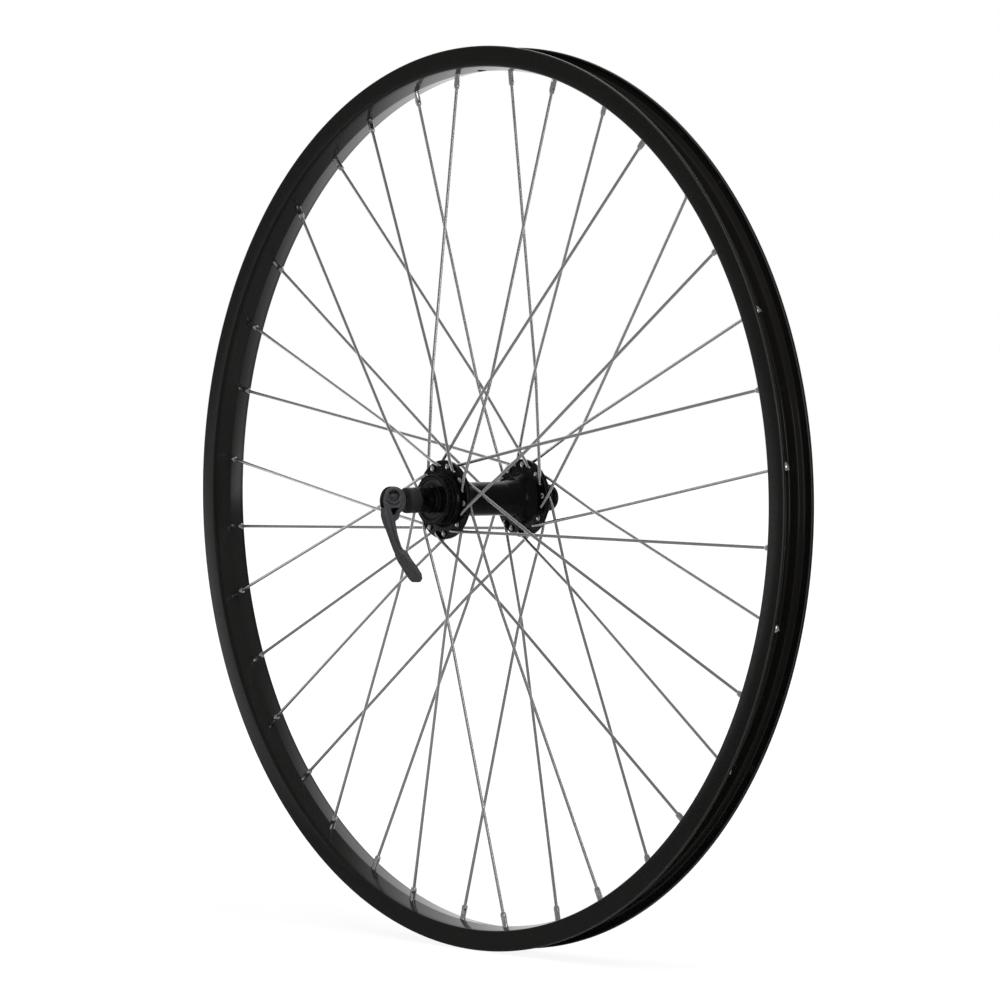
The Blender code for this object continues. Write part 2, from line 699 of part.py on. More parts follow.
def build_nut():
    outer = NUT_DIAMETER / 2
    tip = NUT_TIP_DIAMETER / 2
    pocket = outer - CLAMP_RING_WALL
    pocket_end = NUT_INNER + NUT_POCKET
    shoulder = NUT_INNER + NUT_SIDE
    crown = [
        (outer - (outer - tip) * fall, shoulder + (NUT_OUTER - shoulder) * reach)
        for fall, reach in NUT_DOME
    ]
    profile = [
        (outer, NUT_INNER),
        (outer, shoulder),
        *crown,
        (tip, NUT_OUTER),
        (ROD_HOLE_RADIUS, NUT_OUTER),
        (ROD_HOLE_RADIUS, pocket_end),
        (pocket, pocket_end),
        (pocket, NUT_INNER),
    ]
    turned("adjusting_nut", on_side("right", profile), SMALL_FACETS, SATIN_BLACK, NUT_AXIS)
    clamp_ring("right_clamp_ring", CLAMP_RIGHT, 1, outer, NUT_AXIS)


def spring_points(start, end, start_radius, end_radius, curls):
    """Points along a conical coil about the Y axis."""
    count = round(curls * CURL_POINTS)
    points = []
    for step in range(count + 1):
        share = step / count
        radius = start_radius + (end_radius - start_radius) * share
        points.append(on_wheel(radius, 2 * math.pi * curls * share, start + (end - start) * share))
    return points


def least_coil_gap(points):
    """Least gap between a coil's wire and the curls next to it."""
    gaps = [
        (points[i] - points[j]).length - SPRING_WIRE
        for i in range(len(points))
        for j in range(i + CURL_POINTS // 2 + 1, len(points))
    ]
    return min(gaps)


def build_spring(side, pocket_end, pocket_radius, curls, parent):
    sign = SIDES[side]
    wire = SPRING_WIRE / 2
    start = sign * (AXLE_END + FIT + wire)
    end = sign * (pocket_end - FIT - wire)
    points = spring_points(start, end, SPRING_END_DIAMETER / 2, pocket_radius - FIT - wire, curls)
    print(f"{side}_spring least gap between curls: {least_coil_gap(points) * 1000:.2f} mm")
    mesh = wire_mesh(f"{side}_spring", points, [wire] * len(points), WIRE_FACETS)
    add_object(f"{side}_spring", mesh, BEARING_STEEL, parent)


def main():
    rim_holes, hub_holes = build_spokes()
    build_rim(rim_holes)
    build_hub_shell(hub_holes)
    for side in SIDES:
        build_bearing(side)
    build_axle_set()
    build_skewer()
    build_lever()
    build_housing()
    build_nut()
    housing_pocket = HOUSING_DIAMETER / 2 - CLAMP_RING_WALL
    nut_pocket = NUT_DIAMETER / 2 - CLAMP_RING_WALL
    build_spring("left", HOUSING_INNER + SPRING_POCKET, housing_pocket, LEFT_SPRING_CURLS, SKEWER_AXIS)
    build_spring("right", NUT_INNER + NUT_POCKET, nut_pocket, RIGHT_SPRING_CURLS, NUT_AXIS)


main()
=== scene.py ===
"""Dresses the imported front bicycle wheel: turned rim and hub, laced spokes and the quick release.

The axle lies along Y with the lever at -Y, +Z is up, and sizes are in metres, as in the part's source.
A wheel angle turns about +Y, from +Z towards +X.
"""

import math

import bmesh
import bpy
from mathutils import Matrix, Vector


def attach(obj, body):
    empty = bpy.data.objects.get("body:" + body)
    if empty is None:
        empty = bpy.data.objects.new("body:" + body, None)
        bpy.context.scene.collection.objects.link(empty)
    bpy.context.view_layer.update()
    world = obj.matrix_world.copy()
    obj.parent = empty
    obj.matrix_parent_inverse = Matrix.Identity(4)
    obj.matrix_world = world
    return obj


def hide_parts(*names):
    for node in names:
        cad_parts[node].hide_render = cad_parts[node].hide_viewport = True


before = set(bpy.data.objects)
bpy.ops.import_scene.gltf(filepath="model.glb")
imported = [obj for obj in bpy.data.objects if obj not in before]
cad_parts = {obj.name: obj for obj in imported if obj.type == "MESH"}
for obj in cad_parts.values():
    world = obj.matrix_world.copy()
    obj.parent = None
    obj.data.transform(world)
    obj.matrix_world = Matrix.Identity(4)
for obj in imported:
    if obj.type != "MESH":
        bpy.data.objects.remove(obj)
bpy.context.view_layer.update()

# Rim, as in the part's source
RIM_RADIUS = 0.2857
BEAD_SEAT_RADIUS = 0.2795
SIDE_EDGE_RADIUS = 0.2727
CREASE_RADIUS = 0.2706
FLOOR_RADIUS = 0.2730
HALF_RIM = 0.0126
WALL_Y = 0.0110
LIP_Y = 0.0103
LEDGE_Y = 0.0066
LEDGE_RADIUS = 0.2782
WELL_Y = 0.0046
HOOK_RADIUS = 0.2841
VALVE_HOLE_RADIUS = 0.00425
VALVE_ANGLE = math.radians(0.8)

# Spokes and nipples
SPOKE_COUNT = 36
SPOKE_RADIUS = 0.001
SPOKE_CIRCLE_RADIUS = 0.0215
SPOKE_HEAD_RADIUS = 0.0019
SPOKE_HEAD_LENGTH = 0.0011
ELBOW_RADIUS = 0.0015
HOLE_STEP = 2 * math.pi / SPOKE_COUNT
FIRST_HOLE = VALVE_ANGLE + HOLE_STEP / 2
LACING_SPREAD = math.radians(60)
RIM_STAGGER = 0.0015
NIPPLE_RADIUS = 0.00195
NIPPLE_BODY = 0.0121
NIPPLE_HEAD_RADIUS = 0.0028
NIPPLE_HEAD_LENGTH = 0.0026
NIPPLE_HALF_FLATS = 0.00165
NIPPLE_SLOT_WIDTH = 0.0009
NIPPLE_SLOT_DEPTH = 0.0012
RIM_DRILL_LENGTH = 0.012
HUB_DRILL_LENGTH = 0.005
ELBOW_STEPS = 6
FLANGE_BEND = 0.0022
CROSS_BEND = 0.006
CROSS_GAP = 0.0002
CHANCE_SEED = 7

# Each set's side of the hub, whether it runs outside its flange, the way it leads and its first hole
SPOKE_SETS = {
    "right_in": (1, False, 1, 0),
    "left_out": (-1, True, 1, 1),
    "right_out": (1, True, -1, 2),
    "left_in": (-1, False, -1, 3),
}
SPOKES_IN_SET = SPOKE_COUNT // len(SPOKE_SETS)

# Hub, bearings and axle
FLANGE_MIDDLE = 0.0325
HALF_FLANGE = 0.0015
FLANGE_RADIUS = 0.025
BARREL_RADIUS = 0.0108
BARREL_END = 0.0150
FLARE_RADIUS = 0.0124
FLARE_END = 0.0245
FLANGE_ROOT_RADIUS = 0.0165
COLLAR_RADIUS = 0.0172
COLLAR_END = 0.0354
COLLAR_SLOPE = 0.0006
BOSS_RADIUS = 0.016
BOSS_START = 0.0362
BOSS_END = 0.043
GROOVE_RADIUS = 0.0154
GROOVE_START = 0.0378
GROOVE_END = 0.0396
GROOVE_SLOPE = 0.0005
CUP_RADIUS = 0.01433
CUP_END = 0.0413
CUP_FLOOR = 0.03484
BALL_RADIUS = 0.00238
BALL_ROW = 0.03892
BALL_CIRCLE_RADIUS = 0.01025
BALL_COUNT = 9
HUB_BORE_RADIUS = 0.0057
CAP_RADIUS = 0.01493
CAP_INNER = 0.0416
CAP_DISH = 0.0425
CAP_LIP = 0.0429
CAP_RIM_RADIUS = 0.0133
CAP_LIP_RADIUS = 0.0089
CAP_SLOPE = 0.0005
NECK_RADIUS = 0.0069
CAP_HOLE_RADIUS = NECK_RADIUS + 0.0004
AXLE_RADIUS = 0.0045
AXLE_HOLE_RADIUS = 0.0048
AXLE_BORE_RADIUS = 0.003
AXLE_END = 0.0525
LOCKNUT_OUTER = 0.050
LOCKNUT_INNER = 0.0472
LOCKNUT_FLATS = 0.0165
WASHER_INNER = 0.0456
WASHER_OUTER = 0.0469
WASHER_RADIUS = 0.00775
CONE_OUTER = 0.0453
RETAINER_HALF = 0.0006
AXLE_THREAD_DEPTH = 0.0004
AXLE_THREAD_START = 0.0345
AXLE_THREAD_PITCH = 0.001
LOCKNUT_TEETH = 32
LOCKNUT_TEETH_INNER = 0.0053
LOCKNUT_TEETH_OUTER = 0.0079
LOCKNUT_EASE = 0.0009

# Quick release
ROD_RADIUS = 0.0025
ROD_NECK = 0.0633
ROD_HOLE_RADIUS = 0.0028
ROD_THREAD_DEPTH = 0.0003
ROD_THREAD_START = 0.0402
ROD_THREAD_PITCH = 0.0008
HOUSING_RADIUS = 0.0081
HOUSING_INNER = 0.0569
HOUSING_OUTER = 0.0647
HOUSING_FLOOR = 0.0603
HOUSING_GROOVE_START = 0.0582
HOUSING_GROOVE_END = 0.0596
HOUSING_GROOVE_DEPTH = 0.0005
HOUSING_GROOVE_SLOPE = 0.0004
RING_WALL = 0.0017
LEFT_RING = 0.0554
RIGHT_RING = 0.0526
RING_THICKNESS = 0.0012
TOOTH_HEIGHT = 0.0003
TOOTH_HALF_WIDTH = 0.00055
RING_TEETH = 40
NUT_RADIUS = 0.0085
NUT_INNER = 0.0541
NUT_OUTER = 0.0593
NUT_FLOOR = 0.0558
NUT_WALL_END = 0.0549
CAM_RADIUS = 0.0086
CAM_CENTRE = 0.0736
PIVOT = 0.0750
LEVER_WIDTH = 0.0056
LEVER_SLOT = 0.0028
PIN_RADIUS = 0.002
PIN_LENGTH = 0.0048
EYE_RADIUS = 0.0038
EYE_THICKNESS = 0.0020
EYE_NECK_HALF = 0.002
SPRING_WIRE_RADIUS = 0.0004
SPRING_START_RADIUS = 0.0038
SPRING_STEPS = 28
LEFT_SPRING_END = 0.0596
LEFT_SPRING_RADIUS = 0.0057
LEFT_SPRING_CURLS = 4.0
RIGHT_SPRING_END = 0.0551
RIGHT_SPRING_RADIUS = 0.0061
RIGHT_SPRING_CURLS = 1.5
FIT = 0.0003

# How meshes are made: where a solid turned piece closes on its axis, the distance at which corners
# merge, the angle in degrees past which an edge stays sharp, and the most of a side that an eased edge
# takes
CORE_RADIUS = 0.00005
MERGE_DISTANCE = 0.0000005
SHARP_ANGLE = 40
EASED_SHARE = 0.46

# Segments of round pieces, more where they are larger
RIM_SEGMENTS = 288
HUB_SEGMENTS = 120
CAP_SEGMENTS = 96
NUT_SEGMENTS = 96
LEVER_HEAD_SEGMENTS = 96
RING_SEGMENTS = 72
AXLE_SEGMENTS = 64
ROD_SEGMENTS = 48
PIN_SEGMENTS = 40
OVAL_SEGMENTS = 40
VALVE_SEGMENTS = 32
NIPPLE_SEGMENTS = 24
ARM_SEGMENTS = 24
NIPPLE_HOLE_SEGMENTS = 20
SPOKE_HOLE_SEGMENTS = 16
RIB_SEGMENTS = 16
SPOKE_SEGMENTS = 12
SPRING_SEGMENTS = 12

ALONG_AXLE = Vector((0, 1, 0))
SIDEWAYS = Vector((1, 0, 0))
PIVOT_PLACE = Vector((0, -PIVOT, 0))


def on_wheel(radius, angle, y):
    return Vector((radius * math.sin(angle), y, radius * math.cos(angle)))


def full_turn(count):
    """Evenly spaced angles all the way round."""
    return [2 * math.pi * step / count for step in range(count)]


# Meshes


def eased_corner(start, corner, end, steps):
    """Points of a curve from start to end that rounds the corner between them."""
    shares = [step / steps for step in range(steps + 1)]
    return [start * (1 - s) ** 2 + corner * 2 * s * (1 - s) + end * s**2 for s in shares]


def rounded_outline(corners, steps=4):
    """Points (radius, y, edge) of a closed outline of (radius, y, rounding) corners, its edges eased.

    The last value rises to 1 on an eased edge that stands out, and falls to -1 in a hollow corner.
    """
    count = len(corners)
    pairs = [(corners[i - 1], corners[i]) for i in range(count)]
    turn = math.copysign(1, sum(a[0] * b[1] - b[0] * a[1] for a, b in pairs))
    points = []
    for i, (radius, y, rounding) in enumerate(corners):
        here = Vector((radius, y))
        before = Vector(corners[i - 1][:2]) - here
        after = Vector(corners[(i + 1) % count][:2]) - here
        if rounding == 0:
            points.append((radius, y, 0))
            continue
        half_angle = before.angle(after) / 2
        shorter = min(before.length, after.length)
        back = min(rounding / math.tan(half_angle), EASED_SHARE * shorter)
        start = here + before.normalized() * back
        end = here + after.normalized() * back
        kind = math.copysign(1, (-before).cross(after) * turn)
        for step, place in enumerate(eased_corner(start, here, end, steps)):
            points.append((place.x, place.y, kind * (1 - abs(2 * step / steps - 1))))
    return points


def both_sides(half):
    """A corner list that is the same on both sides of the wheel's middle."""
    return half + [(radius, -y, rounding) for radius, y, rounding in reversed(half) if y > 0]


def on_side(sign, corners):
    return [(radius, sign * y, rounding) for radius, y, rounding in corners]


def bar_outline(radius, low, high, ease):
    """Corners of a solid round bar."""
    return [(CORE_RADIUS, low, 0), (radius, low, ease), (radius, high, ease), (CORE_RADIUS, high, 0)]


def tube_outline(outer, inner, start, end, outer_ease, inner_ease):
    """Corners of a plain tube."""
    return [
        (outer, start, outer_ease),
        (outer, end, outer_ease),
        (inner, end, inner_ease),
        (inner, start, inner_ease),
    ]


def shaded(mesh, sharp=SHARP_ANGLE):
    """The mesh made smooth, with its sharp edges kept."""
    mesh.shade_smooth()
    mesh.set_sharp_from_angle(angle=math.radians(sharp))
    return mesh


def tidy_mesh(shape, name, sharp=SHARP_ANGLE):
    """A bmesh as a finished mesh: doubles merged, faces out, smooth with its sharp edges kept."""
    bmesh.ops.remove_doubles(shape, verts=shape.verts, dist=MERGE_DISTANCE)
    bmesh.ops.dissolve_degenerate(shape, edges=shape.edges, dist=MERGE_DISTANCE)
    bmesh.ops.recalc_face_normals(shape, faces=shape.faces)
    mesh = bpy.data.meshes.new(name)
    shape.to_mesh(mesh)
    shape.free()
    return shaded(mesh, sharp)


def skin(shape, rings, all_round):
    """Faces between neighbouring rings: from the last back to the first, or with a lid on each end."""
    count = len(rings[0])
    pairs = list(zip(rings, rings[1:]))
    if all_round:
        pairs.append((rings[-1], rings[0]))
    for first, second in pairs:
        for i in range(count):
            after = (i + 1) % count
            shape.faces.new((first[i], first[after], second[after], second[i]))
    if not all_round:
        shape.faces.new(rings[0])
        shape.faces.new(rings[-1])


def turned(name, corners, segments, steps=4):
    """A closed outline turned about the Y axis, with the place of its edges kept as an attribute."""
    outline = rounded_outline(corners, steps)
    shape = bmesh.new()
    edge_layer = shape.verts.layers.float.new("edge")
    rings = []
    for angle in full_turn(segments):
        ring = []
        for radius, y, edge in outline:
            vert = shape.verts.new(on_wheel(radius, angle, y))
            vert[edge_layer] = edge
            ring.append(vert)
        rings.append(ring)
    skin(shape, rings, all_round=True)
    return tidy_mesh(shape, name)


def turned_sideways(name, corners, segments, centre):
    """An outline of (radius, x) corners turned about an axis along X through a centre."""
    mesh = turned(name, corners, segments)
    mesh.transform(Matrix.Translation(centre) @ Matrix.Rotation(-math.pi / 2, 4, "Z"))
    return mesh


def block_mesh(low, high):
    shape = bmesh.new()
    bmesh.ops.create_cube(shape, size=1)
    bmesh.ops.scale(shape, vec=Vector(high) - Vector(low), verts=shape.verts)
    bmesh.ops.translate(shape, vec=(Vector(high) + Vector(low)) / 2, verts=shape.verts)
    return tidy_mesh(shape, "block")


def joined(name, meshes):
    shape = bmesh.new()
    for mesh in meshes:
        shape.from_mesh(mesh)
        bpy.data.meshes.remove(mesh)
    mesh = bpy.data.meshes.new(name)
    shape.to_mesh(mesh)
    shape.free()
    return mesh


def hidden_object(name, data):
    """A helper that is used to make a piece and removed afterwards."""
    made = bpy.data.objects.new(name, data)
    bpy.context.scene.collection.objects.link(made)
    return made


def applied(helper, name):
    """The helper's mesh with its modifiers applied, and the helper gone."""
    graph = bpy.context.evaluated_depsgraph_get()
    mesh = bpy.data.meshes.new_from_object(helper.evaluated_get(graph))
    mesh.name = name
    bpy.data.objects.remove(helper)
    return mesh


def cut_holes(mesh, cutter_mesh, name):
    """The mesh with the cutter taken out of it."""
    body = hidden_object(name, mesh)
    cutter = hidden_object(name + "_holes", cutter_mesh)
    boolean = body.modifiers.new("holes", "BOOLEAN")
    boolean.operation = "DIFFERENCE"
    boolean.object = cutter
    made = applied(body, name)
    bpy.data.objects.remove(cutter)
    return shaded(made)


# Geometry Nodes trees


def new_tree(name, inputs):
    """A Geometry Nodes tree with a geometry input and output and the named inputs of the given kinds."""
    tree = bpy.data.node_groups.new(name, "GeometryNodeTree")
    tree.interface.new_socket("Geometry", in_out="INPUT", socket_type="NodeSocketGeometry")
    for label, kind in inputs:
        tree.interface.new_socket(label, in_out="INPUT", socket_type=kind)
    tree.interface.new_socket("Geometry", in_out="OUTPUT", socket_type="NodeSocketGeometry")
    return tree, tree.nodes.new("NodeGroupInput"), tree.nodes.new("NodeGroupOutput")


def turn_by(tree, axis, angle):
    """A rotation about an axis by an angle that another node gives."""
    turn = tree.nodes.new("FunctionNodeAxisAngleToRotation")
    turn.inputs["Axis"].default_value = axis
    tree.links.new(angle, turn.inputs["Angle"])
    return turn.outputs["Rotation"]


def end_tree(tree, given, out, points, shape, rotation):
    """Closes a tree: the shape on every point, turned, then Realize Instances and Set Material."""
    link = tree.links.new
    place = tree.nodes.new("GeometryNodeInstanceOnPoints")
    link(points, place.inputs["Points"])
    link(shape, place.inputs["Instance"])
    link(rotation, place.inputs["Rotation"])
    real = tree.nodes.new("GeometryNodeRealizeInstances")
    link(place.outputs["Instances"], real.inputs["Geometry"])
    finish = tree.nodes.new("GeometryNodeSetMaterial")
    link(real.outputs["Geometry"], finish.inputs["Geometry"])
    link(given.outputs["Material"], finish.inputs["Material"])
    link(finish.outputs["Geometry"], out.inputs["Geometry"])


def end_about_axle(tree, given, out, shape):
    """Closes a tree with copies of the shape turned about the axle, one step after another."""
    link = tree.links.new
    points = tree.nodes.new("GeometryNodePoints")
    link(given.outputs["Copies"], points.inputs["Count"])
    index = tree.nodes.new("GeometryNodeInputIndex")
    angle = tree.nodes.new("ShaderNodeMath")
    angle.operation = "MULTIPLY"
    link(index.outputs["Index"], angle.inputs[0])
    link(given.outputs["Step"], angle.inputs[1])
    rotation = turn_by(tree, ALONG_AXLE, angle.outputs["Value"])
    end_tree(tree, given, out, points.outputs["Points"], shape, rotation)


def wire_tree():
    """A round wire along a curve, thicker where the curve's radius says so, copied about the axle."""
    tree, given, out = new_tree(
        "wire_about_axle",
        [
            ("Copies", "NodeSocketInt"),
            ("Step", "NodeSocketFloat"),
            ("Wire Radius", "NodeSocketFloat"),
            ("Sides", "NodeSocketInt"),
            ("Material", "NodeSocketMaterial"),
        ],
    )
    link = tree.links.new
    section = tree.nodes.new("GeometryNodeCurvePrimitiveCircle")
    link(given.outputs["Sides"], section.inputs["Resolution"])
    link(given.outputs["Wire Radius"], section.inputs["Radius"])
    thickness = tree.nodes.new("GeometryNodeInputRadius")
    sweep = tree.nodes.new("GeometryNodeCurveToMesh")
    sweep.inputs["Fill Caps"].default_value = True
    link(given.outputs["Geometry"], sweep.inputs["Curve"])
    link(section.outputs["Curve"], sweep.inputs["Profile Curve"])
    link(thickness.outputs["Radius"], sweep.inputs["Scale"])
    end_about_axle(tree, given, out, sweep.outputs["Mesh"])
    return tree


def ring_tree():
    """One small shape copied in a ring about the axle."""
    tree, given, out = new_tree(
        "ring_about_axle",
        [("Copies", "NodeSocketInt"), ("Step", "NodeSocketFloat"), ("Material", "NodeSocketMaterial")],
    )
    end_about_axle(tree, given, out, given.outputs["Geometry"])
    return tree


def seat_tree():
    """A shape on every point, its Z axis along the point's direction, turned by chance about it."""
    tree, given, out = new_tree(
        "shape_on_seats",
        [("Shape", "NodeSocketObject"), ("Seed", "NodeSocketInt"), ("Material", "NodeSocketMaterial")],
    )
    link = tree.links.new
    shape = tree.nodes.new("GeometryNodeObjectInfo")
    link(given.outputs["Shape"], shape.inputs["Object"])
    direction = tree.nodes.new("GeometryNodeInputNamedAttribute")
    direction.data_type = "FLOAT_VECTOR"
    direction.inputs["Name"].default_value = "direction"
    align = tree.nodes.new("FunctionNodeAlignRotationToVector")
    align.axis = "Z"
    link(direction.outputs["Attribute"], align.inputs["Vector"])
    # A random angle up to half a turn: the node's fourth input and second output are for plain numbers
    chance = tree.nodes.new("FunctionNodeRandomValue")
    chance.data_type = "FLOAT"
    chance.inputs[3].default_value = math.pi
    link(given.outputs["Seed"], chance.inputs["Seed"])
    turn = tree.nodes.new("FunctionNodeRotateRotation")
    turn.rotation_space = "LOCAL"
    link(align.outputs["Rotation"], turn.inputs["Rotation"])
    link(turn_by(tree, (0, 0, 1), chance.outputs[1]), turn.inputs["Rotate By"])
    points = given.outputs["Geometry"]
    end_tree(tree, given, out, points, shape.outputs["Geometry"], turn.outputs["Rotation"])
    return tree


WIRE_TREE = wire_tree()
RING_TREE = ring_tree()
SEAT_TREE = seat_tree()


def grown(helper, tree, values, name):
    """The plain mesh that a tree makes from the helper with the given input values."""
    modifier = helper.modifiers.new(tree.name, "NODES")
    modifier.node_group = tree
    for item in tree.interface.items_tree:
        if item.in_out == "INPUT" and item.name in values:
            modifier[item.identifier] = values[item.name]
    mesh = applied(helper, name)
    shape = bmesh.new()
    shape.from_mesh(mesh)
    bmesh.ops.recalc_face_normals(shape, faces=shape.faces)
    shape.to_mesh(mesh)
    shape.free()
    return shaded(mesh)


def wire(name, points, thickness, radius, sides, material, copies=1, step=0.0):
    """A wire along the points, as thick at each as its thickness says, copied about the axle."""
    curve = bpy.data.curves.new(name, "CURVE")
    curve.dimensions = "3D"
    spline = curve.splines.new("POLY")
    spline.points.add(len(points) - 1)
    for point, place, scale in zip(spline.points, points, thickness):
        point.co = (*place, 1)
        point.radius = scale
    values = {"Copies": copies, "Step": step, "Material": material}
    values |= {"Wire Radius": radius, "Sides": sides}
    return grown(hidden_object(name, curve), WIRE_TREE, values, name)


def ring_of(name, mesh, copies, material):
    values = {"Copies": copies, "Step": 2 * math.pi / copies, "Material": material}
    return grown(hidden_object(name, mesh), RING_TREE, values, name)


def on_seats(name, seats, mesh, material):
    """The mesh on every seat of (place, direction)."""
    points = bpy.data.meshes.new(name + "_seats")
    points.from_pydata([place for place, _ in seats], [], [])
    directions = points.attributes.new("direction", "FLOAT_VECTOR", "POINT")
    for item, (_, direction) in zip(directions.data, seats):
        item.vector = direction
    shape = hidden_object(name + "_shape", mesh)
    values = {"Shape": shape, "Seed": CHANCE_SEED, "Material": material}
    made = grown(hidden_object(name, points), SEAT_TREE, values, name)
    bpy.data.objects.remove(shape)
    return made


# Materials


class Wiring:
    """A shader tree, with short ways to add nodes and to join them."""

    def __init__(self, tree):
        self.tree = tree

    def add(self, kind):
        return self.tree.nodes.new(kind)

    def join(self, source, target):
        self.tree.links.new(source, target)

    def maths(self, operation, first, second=0):
        node = self.add("ShaderNodeMath")
        node.operation = operation
        for socket, value in zip(node.inputs, (first, second)):
            if isinstance(value, (int, float)):
                socket.default_value = value
            else:
                self.join(value, socket)
        return node.outputs["Value"]

    def measured(self, operation, place, direction=(0, 0, 0)):
        """One number from a place: its LENGTH, or its DOT_PRODUCT with a direction."""
        node = self.add("ShaderNodeVectorMath")
        node.operation = operation
        self.join(place, node.inputs[0])
        node.inputs[1].default_value = direction
        return node.outputs["Value"]

    def ramp(self, value, start, end, low, high, kind="LINEAR"):
        """A value that goes from low to high as another goes from start to end."""
        node = self.add("ShaderNodeMapRange")
        node.interpolation_type = kind
        settings = (("From Min", start), ("From Max", end), ("To Min", low), ("To Max", high))
        for label, number in settings:
            node.inputs[label].default_value = number
        self.join(value, node.inputs["Value"])
        return node.outputs["Result"]

    def places(self, kind):
        return self.add("ShaderNodeTexCoord").outputs[kind]


class Finish(Wiring):
    """A material with a Principled shader, and what its patterns are made from."""

    def __init__(self, name, metallic=0.0, specular=0.5):
        self.material = bpy.data.materials.new(name)
        self.material.use_nodes = True
        super().__init__(self.material.node_tree)
        self.shader = self.tree.nodes["Principled BSDF"]
        self.shader.inputs["Metallic"].default_value = metallic
        self.shader.inputs["Specular IOR Level"].default_value = specular
        self.place = self.places("Object")

    def noise(self, scale, detail=3.0, place=None):
        node = self.add("ShaderNodeTexNoise")
        node.inputs["Scale"].default_value = scale
        node.inputs["Detail"].default_value = detail
        self.join(self.place if place is None else place, node.inputs["Vector"])
        return node.outputs["Fac"]

    def between(self, factor, low, high):
        """A value that goes from low to high over the middle of a noise."""
        return self.ramp(factor, 0.3, 0.7, low, high)

    def blend(self, factor, first, second):
        """A colour between two, each a triple or another node's colour."""
        node = self.add("ShaderNodeMix")
        node.data_type = "RGBA"
        self.join(factor, node.inputs["Factor"])
        # The node's sockets for colours
        for socket, colour in ((node.inputs[6], first), (node.inputs[7], second)):
            if isinstance(colour, tuple):
                socket.default_value = (*colour, 1)
            else:
                self.join(colour, socket)
        return node.outputs[2]

    def from_axle(self):
        """The distance from the axle, and the place along it."""
        split = self.add("ShaderNodeSeparateXYZ")
        self.join(self.place, split.inputs["Vector"])
        square_x = self.maths("POWER", split.outputs["X"], 2)
        square_z = self.maths("POWER", split.outputs["Z"], 2)
        return self.maths("SQRT", self.maths("ADD", square_x, square_z)), split.outputs["Y"]

    def edge(self, operation):
        """1 on the eased edges of a turned piece: ABSOLUTE for all, MAXIMUM for those that stand out."""
        node = self.add("ShaderNodeAttribute")
        node.attribute_name = "edge"
        return self.maths(operation, node.outputs["Fac"])

    def edge_wear_and_highlight(self):
        """How far an edge is painted lighter, broken up by fine noise: partly wear, partly a painted
        highlight on the edges that stand out.
        """
        return self.maths("MULTIPLY", self.edge("MAXIMUM"), self.between(self.noise(900, 4), 0.0, 1.0))

    def openness(self, reach):
        """1 where nothing of the piece itself is near, and less in its hollows; it is used to paint shade
        there.
        """
        node = self.add("ShaderNodeAmbientOcclusion")
        node.only_local = True
        node.inputs["Distance"].default_value = reach
        return node.outputs["AO"]

    def colour(self, source):
        self.join(source, self.shader.inputs["Base Color"])

    def shine(self, source):
        self.join(source, self.shader.inputs["Specular IOR Level"])

    def polish(self, scale, smooth, rough):
        """A roughness that varies in small patches."""
        self.join(self.between(self.noise(scale), smooth, rough), self.shader.inputs["Roughness"])

    def bump(self, height, strength, distance):
        node = self.add("ShaderNodeBump")
        node.inputs["Strength"].default_value = strength
        node.inputs["Distance"].default_value = distance
        self.join(height, node.inputs["Height"])
        self.join(node.outputs["Normal"], self.shader.inputs["Normal"])

    def lathe_marks(self, scale, strength, distance):
        """Fine marks round the axle, left by turning."""
        radius, y = self.from_axle()
        combine = self.add("ShaderNodeCombineXYZ")
        self.join(radius, combine.inputs["X"])
        self.join(y, combine.inputs["Y"])
        self.bump(self.noise(scale, 2, combine.outputs["Vector"]), strength, distance)


def rim_black():
    """Black anodised alloy: dull in the tyre well, shinier inside, with edges that catch the light and
    lips painted lighter, partly edge wear and partly a painted highlight.
    """
    made = Finish("rim_black")
    radius, along = made.from_axle()
    sides = made.ramp(made.maths("ABSOLUTE", along), LIP_Y, HALF_RIM - 0.0003, 0.08, 0.24)
    inside = made.ramp(radius, SIDE_EDGE_RADIUS - 0.0006, SIDE_EDGE_RADIUS, 0.5, 0)
    faces = made.maths("MAXIMUM", sides, inside)
    outside = made.ramp(radius, SIDE_EDGE_RADIUS, SIDE_EDGE_RADIUS + 0.0004, 0, 1)
    eased = made.maths("MULTIPLY", made.edge("ABSOLUTE"), outside)
    made.shine(made.maths("ADD", faces, made.maths("MULTIPLY", eased, 0.25)))
    base = made.blend(made.noise(28), (0.0075, 0.0071, 0.0064), (0.0105, 0.0100, 0.0092))
    # The lips' standing edges are painted lighter: partly edge wear, partly a painted highlight line along
    # the lip
    lip_wear_and_highlight = made.ramp(radius, RIM_RADIUS - 0.0012, RIM_RADIUS - 0.0006, 0, 0.12)
    made.colour(made.blend(made.maths("MULTIPLY", made.edge("MAXIMUM"), lip_wear_and_highlight), base, (0.30, 0.30, 0.31)))
    made.polish(420, 0.13, 0.19)
    made.lathe_marks(4200, 0.10, 0.00004)
    return made.material


def hub_black():
    """Glossy black over a turned shell, brightest on its ridges, where the colour is lightened: partly
    wear, partly a painted highlight.
    """
    made = Finish("hub_black")
    made.shine(made.maths("ADD", made.maths("MULTIPLY", made.edge("MAXIMUM"), 0.2), 0.2))
    base = made.blend(made.noise(90), (0.0016, 0.0016, 0.0018), (0.0032, 0.0032, 0.0034))
    # Painted highlight and wear: the colour of the standing edges and ridges is lightened towards grey
    made.colour(made.blend(made.maths("MULTIPLY", made.edge_wear_and_highlight(), 0.15), base, (0.16, 0.16, 0.17)))
    made.polish(700, 0.12, 0.24)
    made.lathe_marks(2600, 0.08, 0.00003)
    return made.material


